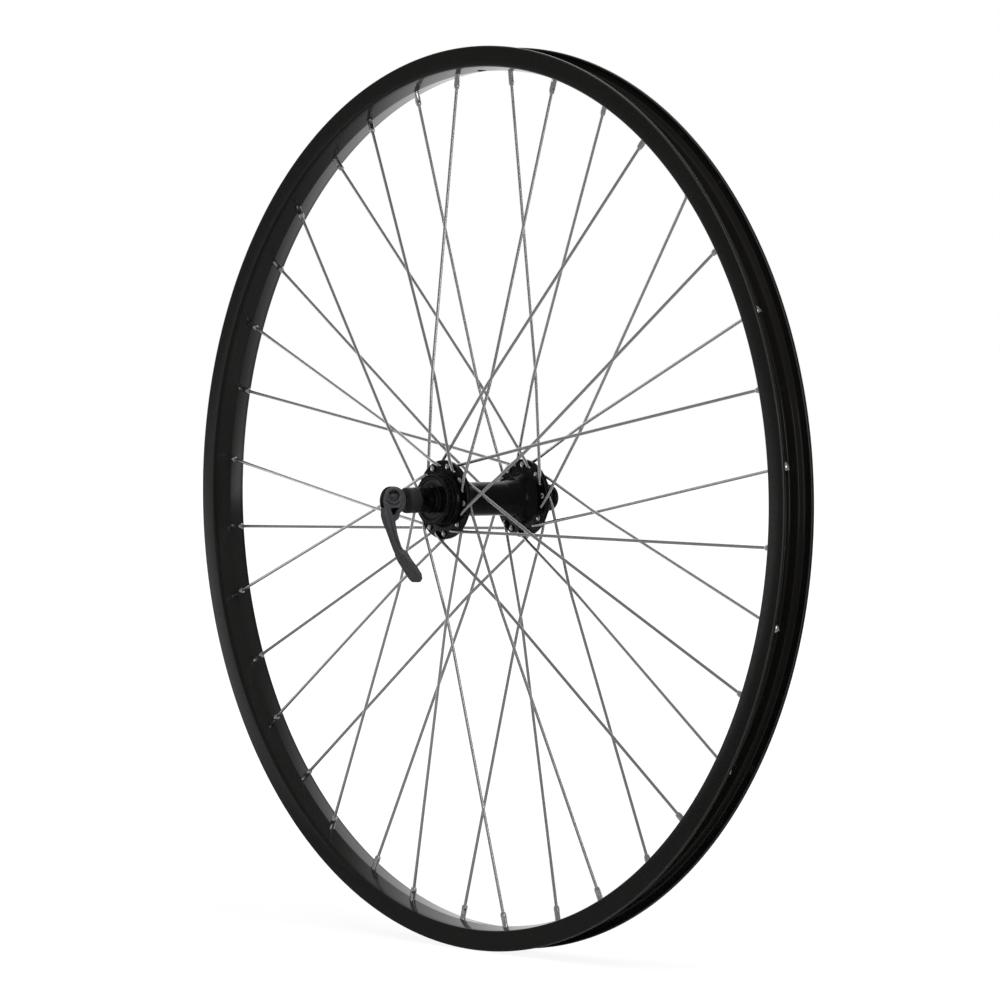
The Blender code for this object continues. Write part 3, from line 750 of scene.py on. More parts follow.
def satin_black(name, low, high):
    """Satin black with a fine moulded grain, and painted shade that turns it near black in its hollows."""
    made = Finish(name, specular=0.2)
    # Painted shade: the piece's own ambient occlusion blends the colour towards near black in its hollows
    # and recesses
    unshaded_share = made.ramp(made.openness(0.004), 0.35, 0.95, 0, 1)
    base = made.blend(made.noise(160), (low, low, low * 1.06), (high, high, high * 1.06))
    made.colour(made.blend(unshaded_share, (0.002, 0.002, 0.0021), base))
    made.polish(900, 0.30, 0.44)
    made.bump(made.noise(5200), 0.18, 0.00005)
    return made.material


def bright_metal(name, low, high, smooth, rough, scale):
    """A bright metal whose tone and polish vary in small patches."""
    made = Finish(name, metallic=1.0)
    made.colour(made.blend(made.noise(scale), (low, low, low * 1.01), (high, high, high * 1.015)))
    made.polish(scale * 3, smooth, rough)
    return made.material


def turned_metal(name, low, high, smooth, rough):
    """A metal turned on a lathe, with marks round the axle and edges that catch the light, their colour
    lightened: partly wear, partly a painted highlight.
    """
    made = Finish(name, metallic=1.0)
    base = made.blend(made.noise(300), (low, low, low * 1.02), (high, high, high * 1.02))
    # Painted highlight and wear: the colour of the standing edges is lightened towards light grey
    made.colour(made.blend(made.maths("MULTIPLY", made.edge_wear_and_highlight(), 0.4), base, (0.45, 0.45, 0.46)))
    made.polish(900, smooth, rough)
    made.lathe_marks(5200, 0.15, 0.00003)
    return made.material


RIM_BLACK = rim_black()
HUB_BLACK = hub_black()
LEVER_BLACK = satin_black("lever_black", 0.054, 0.084)
HOUSING_BLACK = satin_black("housing_black", 0.016, 0.027)
SPOKE_STEEL = bright_metal("spoke_steel", 0.74, 0.84, 0.26, 0.28, 260)
NIPPLE_NICKEL = bright_metal("nipple_nickel", 0.80, 0.90, 0.08, 0.14, 500)
BEARING_STEEL = turned_metal("bearing_steel", 0.46, 0.56, 0.12, 0.24)
DARK_STEEL = turned_metal("dark_steel", 0.018, 0.034, 0.26, 0.40)


def piece(name, mesh, material, body, slot, nodes):
    """A finished piece that rides on a body and stands for CAD nodes."""
    made = bpy.data.objects.new(name, mesh)
    bpy.context.scene.collection.objects.link(made)
    mesh.materials.clear()
    mesh.materials.append(material)
    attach(made, body)
    if nodes:
        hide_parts(*nodes)


def turned_piece(name, corners, segments, material, body, slot, node):
    """A piece that is all turned, in place of one CAD node."""
    piece(name, turned(name, corners, segments), material, body, slot, [node])


# Spokes, nipples and the holes they pass through


class Spoke:
    """One spoke's line from its head to the rim, the place of its nipple and its hole in the hub."""

    def __init__(self, sign, outside, lead, rim_angle):
        face = sign if outside else -sign
        flange_y = sign * FLANGE_MIDDLE
        rim_y = sign * RIM_STAGGER
        hub_angle = rim_angle + lead * LACING_SPREAD
        self.seat = on_wheel(FLOOR_RADIUS, rim_angle, rim_y)
        self.hub_hole = on_wheel(SPOKE_CIRCLE_RADIUS, hub_angle, flange_y)
        across = Vector((self.seat.x - self.hub_hole.x, 0, self.seat.z - self.hub_hole.z))
        reach = across.length
        along = across.normalized()
        head_y = flange_y - face * (HALF_FLANGE + FIT)
        run_y = flange_y + face * (HALF_FLANGE + FIT + SPOKE_RADIUS)
        turn_y = run_y - face * ELBOW_RADIUS

        def at(distance, y):
            point = self.hub_hole + along * distance
            return Vector((point.x, y, point.z))

        outward = self.hub_hole.x * along.x + self.hub_hole.z * along.z
        past_flange = FLANGE_RADIUS**2 - SPOKE_CIRCLE_RADIUS**2
        flange_run = math.sqrt(outward**2 + past_flange) - outward + SPOKE_RADIUS
        cross_distance = last_cross(reach)
        middle_y = flange_y + (rim_y - flange_y) * cross_distance / reach
        cross = at(cross_distance, middle_y - face * (SPOKE_RADIUS + CROSS_GAP))
        self.direction = (self.seat - cross).normalized()
        upright = self.direction.dot(on_wheel(1, rim_angle, 0))
        lean = math.sqrt(1 - upright**2) / upright
        self.under_head = FIT + NIPPLE_HEAD_RADIUS * lean

        # The head's dome: shares of its length and of its radius
        dome = [(1.0, 0.35), (0.86, 0.72), (0.6, 0.95), (0.3, 1.0), (0.12, 0.96)]
        self.points = [at(0, head_y - face * SPOKE_HEAD_LENGTH * share) for share, _ in dome]
        self.thickness = [SPOKE_HEAD_RADIUS / SPOKE_RADIUS * width for _, width in dome]
        self.points.append(at(0, head_y))
        for step in range(ELBOW_STEPS + 1):
            bend = math.pi / 2 * step / ELBOW_STEPS
            distance = ELBOW_RADIUS * (1 - math.cos(bend))
            self.points.append(at(distance, turn_y + face * ELBOW_RADIUS * math.sin(bend)))
        corner = at(flange_run, run_y)
        inside_nipple = self.seat - self.direction * NIPPLE_BODY * 0.5
        self.points += slight_bend(at(ELBOW_RADIUS, run_y), corner, cross, FLANGE_BEND)
        self.points += slight_bend(corner, cross, inside_nipple, CROSS_BEND)
        self.points.append(inside_nipple)
        self.thickness += [1] * (len(self.points) - len(self.thickness))


def slight_bend(before, corner, after, length):
    """Points of a slight bend at a corner of the wire."""
    start = corner + (before - corner).normalized() * min(length, (before - corner).length * 0.8)
    end = corner + (after - corner).normalized() * length
    return eased_corner(start, corner, end, 4)


def last_cross(reach):
    """Distance from the hub hole to where a spoke meets its partner for the last time."""
    rim_part = FLOOR_RADIUS * math.sin(HOLE_STEP)
    hub_part = SPOKE_CIRCLE_RADIUS * math.sin(LACING_SPREAD - HOLE_STEP)
    crossing = FLOOR_RADIUS * SPOKE_CIRCLE_RADIUS * math.sin(LACING_SPREAD) / (rim_part + hub_part)
    square = FLOOR_RADIUS**2 + crossing**2 - 2 * FLOOR_RADIUS * crossing * math.cos(HOLE_STEP)
    return reach - math.sqrt(square)


def build_spokes():
    """Lays the four sets of spokes and returns the nipples' seats and the hub's holes."""
    seats = []
    hub_holes = []
    step = HOLE_STEP * len(SPOKE_SETS)
    for set_name, (sign, outside, lead, first) in SPOKE_SETS.items():
        spoke = Spoke(sign, outside, lead, FIRST_HOLE + HOLE_STEP * first)
        name = "spokes_" + set_name
        line = (spoke.points, spoke.thickness, SPOKE_RADIUS, SPOKE_SEGMENTS)
        mesh = wire(name, *line, SPOKE_STEEL, SPOKES_IN_SET, step)
        nodes = [f"spoke_{set_name}_{number + 1}" for number in range(SPOKES_IN_SET)]
        piece(name, mesh, SPOKE_STEEL, "wheel", "spoke_steel", nodes)
        for number in range(SPOKES_IN_SET):
            spin = Matrix.Rotation(step * number, 3, "Y")
            lifted = spoke.seat + spoke.direction * spoke.under_head
            seats.append((spin @ lifted, spin @ spoke.direction))
            hub_holes.append((spin @ spoke.hub_hole, ALONG_AXLE))
    return seats, hub_holes


def nipple_mesh():
    """A nipple pointing up from its seat: round nose, four flats, round neck and slotted head."""
    nose = -NIPPLE_BODY
    head = NIPPLE_HEAD_RADIUS
    # Height, radius, and how square the section is
    rows = [
        (nose, 0.00112, 0),
        (nose, 0.00150, 0),
        (nose + 0.0004, 0.00178, 0),
        (nose + 0.0022, NIPPLE_RADIUS, 0),
        (nose + 0.0027, NIPPLE_RADIUS, 0.6),
        (nose + 0.0031, NIPPLE_RADIUS, 1),
        (-0.0040, NIPPLE_RADIUS, 1),
        (-0.0036, NIPPLE_RADIUS, 0),
        (-0.0002, NIPPLE_RADIUS, 0),
        (0.0, NIPPLE_RADIUS + 0.0002, 0),
        (0.0, head - 0.0002, 0),
        (0.0002, head, 0),
        (0.0011, head, 0),
        (0.0018, head * 0.88, 0),
        (0.0023, head * 0.62, 0),
        (NIPPLE_HEAD_LENGTH, head * 0.3, 0),
    ]
    shape = bmesh.new()
    rings = []
    for height, radius, square in rows:
        ring = []
        for angle in full_turn(NIPPLE_SEGMENTS):
            across = max(abs(math.cos(angle)), abs(math.sin(angle)))
            reach = radius + (min(radius, NIPPLE_HALF_FLATS / across) - radius) * square
            ring.append(shape.verts.new((reach * math.cos(angle), reach * math.sin(angle), height)))
        rings.append(ring)
    skin(shape, rings, all_round=False)
    mesh = tidy_mesh(shape, "nipple")
    slot_end = Vector((1.5 * head, NIPPLE_SLOT_WIDTH / 2, NIPPLE_SLOT_DEPTH))
    slot_middle = Vector((0, 0, NIPPLE_HEAD_LENGTH))
    return cut_holes(mesh, block_mesh(slot_middle - slot_end, slot_middle + slot_end), "nipple")


def drill_mesh(radius, length, sides):
    """A plain drill along Z, to be put on every hole."""
    shape = bmesh.new()
    size = {"radius1": radius, "radius2": radius, "depth": length}
    bmesh.ops.create_cone(shape, cap_ends=True, segments=sides, **size)
    return tidy_mesh(shape, "drill")


def build_rim(seats):
    half = [
        (CREASE_RADIUS, 0, 0.004),
        (SIDE_EDGE_RADIUS, HALF_RIM, 0.0009),
        (RIM_RADIUS, HALF_RIM, 0.0009),
        (RIM_RADIUS, LIP_Y, 0.0007),
        (HOOK_RADIUS, LIP_Y, 0.0006),
        (HOOK_RADIUS - 0.0007, WALL_Y, 0.0004),
        (BEAD_SEAT_RADIUS, WALL_Y, 0.0014),
        (LEDGE_RADIUS, LEDGE_Y, 0.0016),
        (FLOOR_RADIUS, WELL_Y, 0.0018),
    ]
    mesh = turned("rim_hoop", both_sides(half), RIM_SEGMENTS)
    drill = drill_mesh(NIPPLE_RADIUS + FIT, RIM_DRILL_LENGTH, NIPPLE_HOLE_SEGMENTS)
    drills = on_seats("rim_drills", seats, drill, RIM_BLACK)
    outward = on_wheel(1, VALVE_ANGLE, 0)
    drill = drill_mesh(VALVE_HOLE_RADIUS, RIM_DRILL_LENGTH, VALVE_SEGMENTS)
    valve = on_seats("valve_drill", [(outward * FLOOR_RADIUS, outward)], drill, RIM_BLACK)
    mesh = cut_holes(mesh, joined("rim_cutters", [drills, valve]), "rim_hoop")
    piece("rim_hoop", mesh, RIM_BLACK, "wheel", "rim_black", ["rim"])


def build_hub(hub_holes):
    outside = FLANGE_MIDDLE + HALF_FLANGE
    inside = FLANGE_MIDDLE - HALF_FLANGE
    half = [
        (BARREL_RADIUS, BARREL_END, 0.012),
        (FLARE_RADIUS, FLARE_END, 0.010),
        (FLANGE_ROOT_RADIUS, inside, 0.0012),
        (FLANGE_RADIUS, inside, 0.0008),
        (FLANGE_RADIUS, outside, 0.0008),
        (COLLAR_RADIUS, outside, 0.0009),
        (COLLAR_RADIUS - COLLAR_SLOPE, COLLAR_END, 0.0004),
        (BOSS_RADIUS, BOSS_START, 0.0003),
        (BOSS_RADIUS, GROOVE_START, 0.0003),
        (GROOVE_RADIUS, GROOVE_START + GROOVE_SLOPE, 0.0002),
        (GROOVE_RADIUS, GROOVE_END - GROOVE_SLOPE, 0.0002),
        (BOSS_RADIUS, GROOVE_END, 0.0003),
        (BOSS_RADIUS, BOSS_END, 0.0007),
        (CAP_RADIUS + FIT, BOSS_END, 0.0002),
        (CAP_RADIUS + FIT, CUP_END, 0),
        (CUP_RADIUS + FIT, CUP_END, 0),
        (CUP_RADIUS + FIT, CUP_FLOOR - FIT, 0),
        (HUB_BORE_RADIUS, CUP_FLOOR - FIT, 0.0002),
    ]
    mesh = turned("hub_body", both_sides(half), HUB_SEGMENTS, 5)
    drill = drill_mesh(SPOKE_RADIUS + FIT, HUB_DRILL_LENGTH, SPOKE_HOLE_SEGMENTS)
    mesh = cut_holes(mesh, on_seats("hub_drills", hub_holes, drill, HUB_BLACK), "hub_body")
    piece("hub_body", mesh, HUB_BLACK, "wheel", "hub_black", ["hub_shell"])


# Bearings and axle set


def race_arc(gap, start, end, steps):
    """Corners along a ball's race, between two angles from +radius to +y."""
    reach = BALL_RADIUS + gap
    corners = []
    for step in range(steps + 1):
        angle = start + (end - start) * step / steps
        radius = BALL_CIRCLE_RADIUS + reach * math.cos(angle)
        corners.append((radius, BALL_ROW + reach * math.sin(angle), 0))
    return corners


def build_bearing(side, sign):
    cap = [
        (CAP_RADIUS, CAP_INNER, 0),
        (CAP_RADIUS, BOSS_END, 0.0003),
        (CAP_RIM_RADIUS, BOSS_END, 0.0003),
        (CAP_RIM_RADIUS - CAP_SLOPE, CAP_DISH, 0.0002),
        (CAP_LIP_RADIUS + CAP_SLOPE, CAP_DISH, 0.0002),
        (CAP_LIP_RADIUS, CAP_LIP, 0.0002),
        (CAP_HOLE_RADIUS, CAP_LIP, 0.0002),
        (CAP_HOLE_RADIUS, CAP_INNER, 0),
    ]
    made_of = (HUB_BLACK, "wheel", "hub_black")
    turned_piece(f"{side}_cap", on_side(sign, cap), CAP_SEGMENTS, *made_of, f"{side}_dust_cap")

    inner = BALL_ROW - BALL_RADIUS - FIT
    cup = [
        (CUP_RADIUS, CUP_END, 0.0002),
        (CUP_RADIUS, CUP_FLOOR, 0.0003),
        (HUB_BORE_RADIUS, CUP_FLOOR, 0.0002),
        (HUB_BORE_RADIUS, inner, 0.0002),
        *race_arc(FIT, -math.pi / 2, 0, 8),
        (BALL_CIRCLE_RADIUS + BALL_RADIUS + FIT, CUP_END, 0.0001),
    ]
    made_of = (BEARING_STEEL, "wheel", "bearing_steel")
    turned_piece(f"{side}_cup", on_side(sign, cup), RING_SEGMENTS, *made_of, f"{side}_bearing_cup")

    back = BALL_ROW - BALL_RADIUS / 2
    cone = [
        (AXLE_HOLE_RADIUS, CONE_OUTER, 0.0002),
        (AXLE_HOLE_RADIUS, back, 0.0002),
        (BALL_CIRCLE_RADIUS - BALL_RADIUS - FIT, back, 0.0002),
        *race_arc(FIT, math.pi, 0.8 * math.pi, 6),
        (NECK_RADIUS, CUP_END - 0.0004, 0.0001),
        (NECK_RADIUS, CONE_OUTER, 0.0003),
    ]
    made_of = (BEARING_STEEL, "axle", "bearing_steel")
    turned_piece(f"{side}_race_cone", on_side(sign, cone), RING_SEGMENTS, *made_of, f"{side}_cone")
    build_balls(side, sign)


def build_balls(side, sign):
    """The balls and the wire retainer that spaces them."""
    row = sign * BALL_ROW
    ball = bmesh.new()
    place = Matrix.Translation(on_wheel(BALL_CIRCLE_RADIUS, 0, row))
    bmesh.ops.create_icosphere(ball, subdivisions=4, radius=BALL_RADIUS, matrix=place)
    balls = ring_of(f"{side}_balls", tidy_mesh(ball, "ball", 180), BALL_COUNT, BEARING_STEEL)
    outer = BALL_CIRCLE_RADIUS + RETAINER_HALF
    inner = BALL_CIRCLE_RADIUS - RETAINER_HALF
    ease = RETAINER_HALF * 0.9
    section = tube_outline(outer, inner, row + RETAINER_HALF, row - RETAINER_HALF, ease, ease)
    retainer = turned(f"{side}_retainer", section, RING_SEGMENTS)
    name = f"{side}_balls_in_retainer"
    mesh = joined(name, [balls, retainer])
    piece(name, mesh, BEARING_STEEL, f"{side}_bearing", "bearing_steel", [f"{side}_ball_ring"])


# A thread's crest and root along one turn: shares of its depth and of the turn
THREAD_FORM = ((0, 0.15), (0, 0.35), (1, 0.65), (1, 0.85))


def threaded(radius, depth, start, end, pitch):
    """Corners of a thread's crests and roots along the axle."""
    count = round(abs(end - start) / pitch)
    step = (end - start) / count
    corners = []
    for turn in range(count):
        y = start + step * turn
        corners += [(radius - depth * deep, y + step * share, 0) for deep, share in THREAD_FORM]
    return corners


def build_axle():
    core = AXLE_RADIUS - AXLE_THREAD_DEPTH
    thread_end = AXLE_END - 0.0005
    half = [
        (core, 0.0340, 0.0002),
        *threaded(AXLE_RADIUS, AXLE_THREAD_DEPTH, AXLE_THREAD_START, thread_end, AXLE_THREAD_PITCH),
        (core, AXLE_END, 0.0002),
        (AXLE_BORE_RADIUS, AXLE_END, 0.0002),
    ]
    made_of = (DARK_STEEL, "axle", "dark_steel")
    turned_piece("axle_tube", both_sides(half), AXLE_SEGMENTS, *made_of, "axle")


def tooth_mesh(inner, outer, base_y, tip_y):
    """One radial tooth on a clamping face, a ridge that rises from base to tip."""
    shape = bmesh.new()
    half = TOOTH_HALF_WIDTH
    sink = base_y + (base_y - tip_y) * 0.3
    low = [(-half, sink, inner), (half, sink, inner), (half, sink, outer), (-half, sink, outer)]
    high = [(0, tip_y, inner + half * 0.3), (0, tip_y, outer - half * 0.3)]
    verts = [shape.verts.new(place) for place in low + high]
    for face in ((0, 1, 2, 3), (0, 1, 4), (2, 3, 5), (1, 2, 5, 4), (3, 0, 4, 5)):
        shape.faces.new([verts[i] for i in face])
    return tidy_mesh(shape, "tooth", 20)


def build_locknuts():
    for side, sign in (("left", -1), ("right", 1)):
        made_of = (DARK_STEEL, "axle", "dark_steel")
        ends = (WASHER_OUTER, WASHER_INNER)
        washer = on_side(sign, tube_outline(WASHER_RADIUS, AXLE_HOLE_RADIUS, *ends, 0.0002, 0.0001))
        turned_piece(f"{side}_washer", washer, RING_SEGMENTS, *made_of, f"{side}_lock_washer")
        face = LOCKNUT_OUTER - TOOTH_HEIGHT
        mesh = hex_nut_mesh(sign, face)
        span = (LOCKNUT_TEETH_INNER, LOCKNUT_TEETH_OUTER)
        tooth = tooth_mesh(*span, sign * face, sign * LOCKNUT_OUTER)
        teeth = ring_of(f"{side}_locknut_teeth", tooth, LOCKNUT_TEETH, DARK_STEEL)
        mesh = joined(f"{side}_hex_nut", [mesh, teeth])
        piece(f"{side}_hex_nut", mesh, *made_of, [f"{side}_locknut"])


def hex_nut_mesh(sign, face):
    """A thin hexagonal nut with chamfered corners: a turned blank whose six flats are milled off."""
    corner = LOCKNUT_FLATS / 2 / math.cos(math.pi / 6)
    chamfer = LOCKNUT_EASE * 0.6
    rows = [
        (AXLE_HOLE_RADIUS, LOCKNUT_INNER),
        (corner - LOCKNUT_EASE, LOCKNUT_INNER),
        (corner, LOCKNUT_INNER + chamfer),
        (corner, face - chamfer),
        (corner - LOCKNUT_EASE, face),
        (AXLE_HOLE_RADIUS + 0.0002, face),
        (AXLE_HOLE_RADIUS, face - 0.0002),
    ]
    shape = bmesh.new()
    rings = []
    for angle in full_turn(NUT_SEGMENTS):
        from_flat = (angle + math.pi / 6) % (math.pi / 3) - math.pi / 6
        flat = LOCKNUT_FLATS / 2 / math.cos(from_flat)
        rings.append([shape.verts.new(on_wheel(min(r, flat), angle, sign * y)) for r, y in rows])
    skin(shape, rings, all_round=True)
    return tidy_mesh(shape, "hex_nut", 25)


# Quick release


def build_skewer():
    """The rod with its thread, and the flat eye that the lever turns on."""
    thread_end = NUT_OUTER - 0.0004
    rod = [
        (CORE_RADIUS, -ROD_NECK, 0),
        (ROD_RADIUS, -ROD_NECK, 0.0005),
        (ROD_RADIUS, ROD_THREAD_START - 0.0002, 0.0001),
        *threaded(ROD_RADIUS, ROD_THREAD_DEPTH, ROD_THREAD_START, thread_end, ROD_THREAD_PITCH),
        (ROD_RADIUS - ROD_THREAD_DEPTH, NUT_OUTER, 0.0002),
        (CORE_RADIUS, NUT_OUTER, 0),
    ]
    half = EYE_THICKNESS / 2
    eye = tube_outline(EYE_RADIUS, PIN_RADIUS + FIT, -half, half, 0.0003, 0.0001)
    neck_low = (-half, -PIVOT + PIN_RADIUS + 0.0008, -EYE_NECK_HALF)
    neck = block_mesh(neck_low, (half, -ROD_NECK + FIT, EYE_NECK_HALF))
    bar = turned("rod", rod, ROD_SEGMENTS)
    ring = turned_sideways("eye", eye, ROD_SEGMENTS, PIVOT_PLACE)
    mesh = joined("skewer_with_eye", [bar, ring, neck])
    piece("skewer_with_eye", mesh, BEARING_STEEL, "skewer", "spoke_steel", ["skewer_rod"])

    low = -LEVER_WIDTH / 2
    pin = bar_outline(PIN_RADIUS, low, low + PIN_LENGTH, 0.0003)
    mesh = turned_sideways("cross_pin", pin, PIN_SEGMENTS, PIVOT_PLACE)
    piece("cross_pin", mesh, BEARING_STEEL, "lever", "bearing_steel", ["pivot_pin"])


# The lever's arm: y and z from the pivot, thickness across the arm and width along X
LEVER_ARM = (
    (0.0010, 0.0000, 0.0122, 0.0056),
    (-0.0010, -0.0062, 0.0132, 0.0056),
    (-0.0016, -0.0103, 0.0120, 0.0056),
    (-0.0022, -0.0133, 0.0076, 0.0052),
    (-0.0007, -0.0172, 0.0062, 0.0049),
    (0.0006, -0.0210, 0.0054, 0.0048),
    (0.0022, -0.0252, 0.0050, 0.0048),
    (0.0041, -0.0296, 0.0046, 0.0050),
    (0.0056, -0.0318, 0.0042, 0.0066),
    (0.0072, -0.0330, 0.0044, 0.0100),
    (0.0098, -0.0372, 0.0039, 0.0116),
    (0.0142, -0.0424, 0.0036, 0.0131),
    (0.0176, -0.0468, 0.0036, 0.0130),
    (0.0190, -0.0496, 0.0033, 0.0105),
    (0.0193, -0.0512, 0.0024, 0.0066),
)


# How far a section of the arm is drawn out from an oval towards an oblong, where 1 is an oval
OBLONG_POWER = 0.38


def drawn_out(value):
    """A sine or cosine, drawn out towards the corners of an oblong."""
    return math.copysign(abs(value) ** OBLONG_POWER, value)


def lever_arm_mesh():
    """A loft of rounded oblong sections down the arm to its paddle."""
    places = [PIVOT_PLACE + Vector((0, y, z)) for y, z, _, _ in LEVER_ARM]
    last = len(places) - 1
    shape = bmesh.new()
    rings = []
    for number, (place, (_, _, thickness, width)) in enumerate(zip(places, LEVER_ARM)):
        along = (places[min(number + 1, last)] - places[max(number - 1, 0)]).normalized()
        front = SIDEWAYS.cross(along)
        ring = []
        for angle in full_turn(ARM_SEGMENTS):
            cosine = drawn_out(math.cos(angle))
            sine = drawn_out(math.sin(angle))
            offset = SIDEWAYS * cosine * width / 2 + front * sine * thickness / 2
            ring.append(shape.verts.new(place + offset))
        rings.append(ring)
    skin(shape, rings, all_round=False)
    return tidy_mesh(shape, "lever_arm")


def pocket_mesh(outline, depth):
    """A cutter for a pocket of (y, z) corners, sunk into both sides of the lever's head."""
    shape = bmesh.new()
    floor = LEVER_WIDTH / 2 - depth
    for sign in (-1, 1):
        rings = []
        for x in (sign * floor, sign * LEVER_WIDTH):
            rings.append([shape.verts.new((x, y - PIVOT, z)) for y, z in outline])
        skin(shape, rings, all_round=False)
    return tidy_mesh(shape, "pocket")


def oval(centre_y, centre_z, half_y, half_z):
    """Corners (y, z) of an oval, from the pivot."""
    turns = full_turn(OVAL_SEGMENTS)
    return [(centre_y + half_y * math.cos(a), centre_z + half_z * math.sin(a)) for a in turns]


# Hollows in the lever's head, y and z from the pivot: a recess with a boss and a crescent in it,
# and a deep pocket
RECESS_Y = -0.0008
RECESS_Z = 0.0031
SIDE_RECESS = oval(RECESS_Y, RECESS_Z, 0.0046, 0.0035)
SIDE_CRESCENT = oval(RECESS_Y, RECESS_Z + 0.0020, 0.0034, 0.0010)
SIDE_POCKET = (
    (-0.0030, -0.0045),
    (0.0030, -0.0044),
    (0.0016, -0.0062),
    (-0.0004, -0.0088),
    (-0.0014, -0.0088),
    (-0.0025, -0.0066),
)
POCKET_DEPTHS = ((SIDE_RECESS, 0.0006), (SIDE_CRESCENT, 0.0012), (SIDE_POCKET, 0.0023))
BOSS_HALVES = (0.0007, 0.0021, 0.0016)

# Raised ribs on the lever's +X side, the first round its recess: y and z from the pivot,
# then the rib's half width
RIB = 0.0011
RIB_LIFT = 0.0001
RING_RIB = oval(RECESS_Y, RECESS_Z, 0.0054, 0.0043)
LEVER_RIBS = (
    tuple((y, z, 0.0008) for y, z in [*RING_RIB, RING_RIB[0]]),
    (
        (-0.0062, -0.0010, 0.0010),
        (-0.0044, -0.0050, 0.0011),
        (-0.0026, -0.0100, 0.0011),
        (-0.0011, -0.0160, 0.0009),
        (0.0014, -0.0229, 0.0008),
        (0.0046, -0.0296, 0.0006),
    ),
    (
        (0.0066, 0.0036, 0.0009),
        (0.0038, -0.0024, 0.0010),
        (-0.0004, -0.0080, 0.0010),
        (-0.0018, -0.0114, 0.0009),
    ),
)


def lever_ribs():
    """The ribs as round bars half sunk in the outer side of the head and arm."""
    meshes = []
    for number, rib in enumerate(LEVER_RIBS):
        points = [Vector((LEVER_WIDTH / 2 + RIB_LIFT, y - PIVOT, z)) for y, z, _ in rib]
        thickness = [width / RIB for _, _, width in rib]
        name = f"lever_rib_{number}"
        meshes.append(wire(name, points, thickness, RIB, RIB_SEGMENTS, LEVER_BLACK))
    return meshes


# The drums that the cam head is fused from: radius, y and z
LEVER_DRUMS = ((CAM_RADIUS, -CAM_CENTRE, 0), (0.0089, -0.0741, 0), (0.0080, -0.0747, 0.0010))
DRUM_EASE = 0.0013
FUSE_VOXEL = 0.00022


def fused(name, meshes):
    """Meshes that run into each other made one skin, slightly softened where they meet."""
    helper = hidden_object(name, joined(name, meshes))
    fuse = helper.modifiers.new("fuse", "REMESH")
    fuse.mode = "VOXEL"
    fuse.voxel_size = FUSE_VOXEL
    soften = helper.modifiers.new("soften", "SMOOTH")
    soften.factor = 0.5
    soften.iterations = 4
    return applied(helper, name)


def build_lever():
    """The lever: arm and cam head fused, slotted for the eye and bored for the pin, with its pockets."""
    half = LEVER_WIDTH / 2
    drums = []
    for radius, y, z in LEVER_DRUMS:
        drum = bar_outline(radius, -half, half, DRUM_EASE)
        centre = Vector((0, y, z))
        drums.append(turned_sideways("lever_head", drum, LEVER_HEAD_SEGMENTS, centre))
    mesh = fused("lever_blank", [*drums, lever_arm_mesh(), *lever_ribs()])
    # The slot is open at the top, towards the hub and away from it, where its cutter reaches past the head
    slot_low = (-LEVER_SLOT / 2, -0.12, -EYE_RADIUS - 0.0004)
    slot_high = (LEVER_SLOT / 2, -0.04, 0.03)
    bore = bar_outline(PIN_RADIUS + FIT, -LEVER_WIDTH, -half + PIN_LENGTH + 0.00005, 0)
    cutters = [
        block_mesh(slot_low, slot_high),
        turned_sideways("bore", bore, PIN_SEGMENTS, PIVOT_PLACE),
        *[pocket_mesh(outline, depth) for outline, depth in POCKET_DEPTHS],
    ]
    for cutter in cutters:
        mesh = cut_holes(mesh, cutter, "lever_blank")
    boss = bmesh.new()
    bmesh.ops.create_uvsphere(boss, u_segments=32, v_segments=16, radius=1)
    bmesh.ops.scale(boss, vec=BOSS_HALVES, verts=boss.verts)
    bmesh.ops.translate(boss, vec=(half - 0.0006, RECESS_Y - PIVOT, RECESS_Z), verts=boss.verts)
    mesh = joined("lever_with_cam", [mesh, tidy_mesh(boss, "recess_boss")])
    piece("lever_with_cam", mesh, LEVER_BLACK, "lever", "lever_black", ["lever"])


def clamp_ring(name, sign, inner, outer_radius, body, node):
    """A thin steel ring whose clamping face has radial teeth."""
    face = inner + TOOTH_HEIGHT
    back = inner + RING_THICKNESS
    inner_radius = outer_radius - RING_WALL
    ring = [
        (outer_radius, back, 0.0001),
        (outer_radius, face, 0.0002),
        (inner_radius, face, 0.0001),
        (inner_radius, back, 0.0001),
    ]
    mesh = turned(name, on_side(sign, ring), RING_SEGMENTS)
    tooth = tooth_mesh(inner_radius + 0.0001, outer_radius - 0.0001, sign * face, sign * inner)
    mesh = joined(name, [mesh, ring_of(name + "_teeth", tooth, RING_TEETH, DARK_STEEL)])
    piece(name, mesh, DARK_STEEL, body, "dark_steel", [node])


def build_housing():
    pocket = HOUSING_RADIUS - RING_WALL
    groove = HOUSING_RADIUS - HOUSING_GROOVE_DEPTH
    side = [
        (HOUSING_RADIUS, HOUSING_INNER, 0.0002),
        (HOUSING_RADIUS, HOUSING_GROOVE_START, 0.0002),
        (groove, HOUSING_GROOVE_START + HOUSING_GROOVE_SLOPE, 0.0002),
        (groove, HOUSING_GROOVE_END - HOUSING_GROOVE_SLOPE, 0.0002),
        (HOUSING_RADIUS, HOUSING_GROOVE_END, 0.0002),
        (HOUSING_RADIUS, HOUSING_OUTER, 0.0018),
        (ROD_HOLE_RADIUS, HOUSING_OUTER, 0.0003),
        (ROD_HOLE_RADIUS, HOUSING_FLOOR, 0),
        (pocket, HOUSING_FLOOR, 0.0003),
        (pocket, HOUSING_INNER, 0.0001),
    ]
    made_of = (HOUSING_BLACK, "cam_housing", "lever_black")
    turned_piece("cam_barrel", on_side(-1, side), NUT_SEGMENTS, *made_of, "cam_housing")
    clamp_ring("left_tooth_ring", -1, LEFT_RING, HOUSING_RADIUS, "cam_housing", "left_clamp_ring")


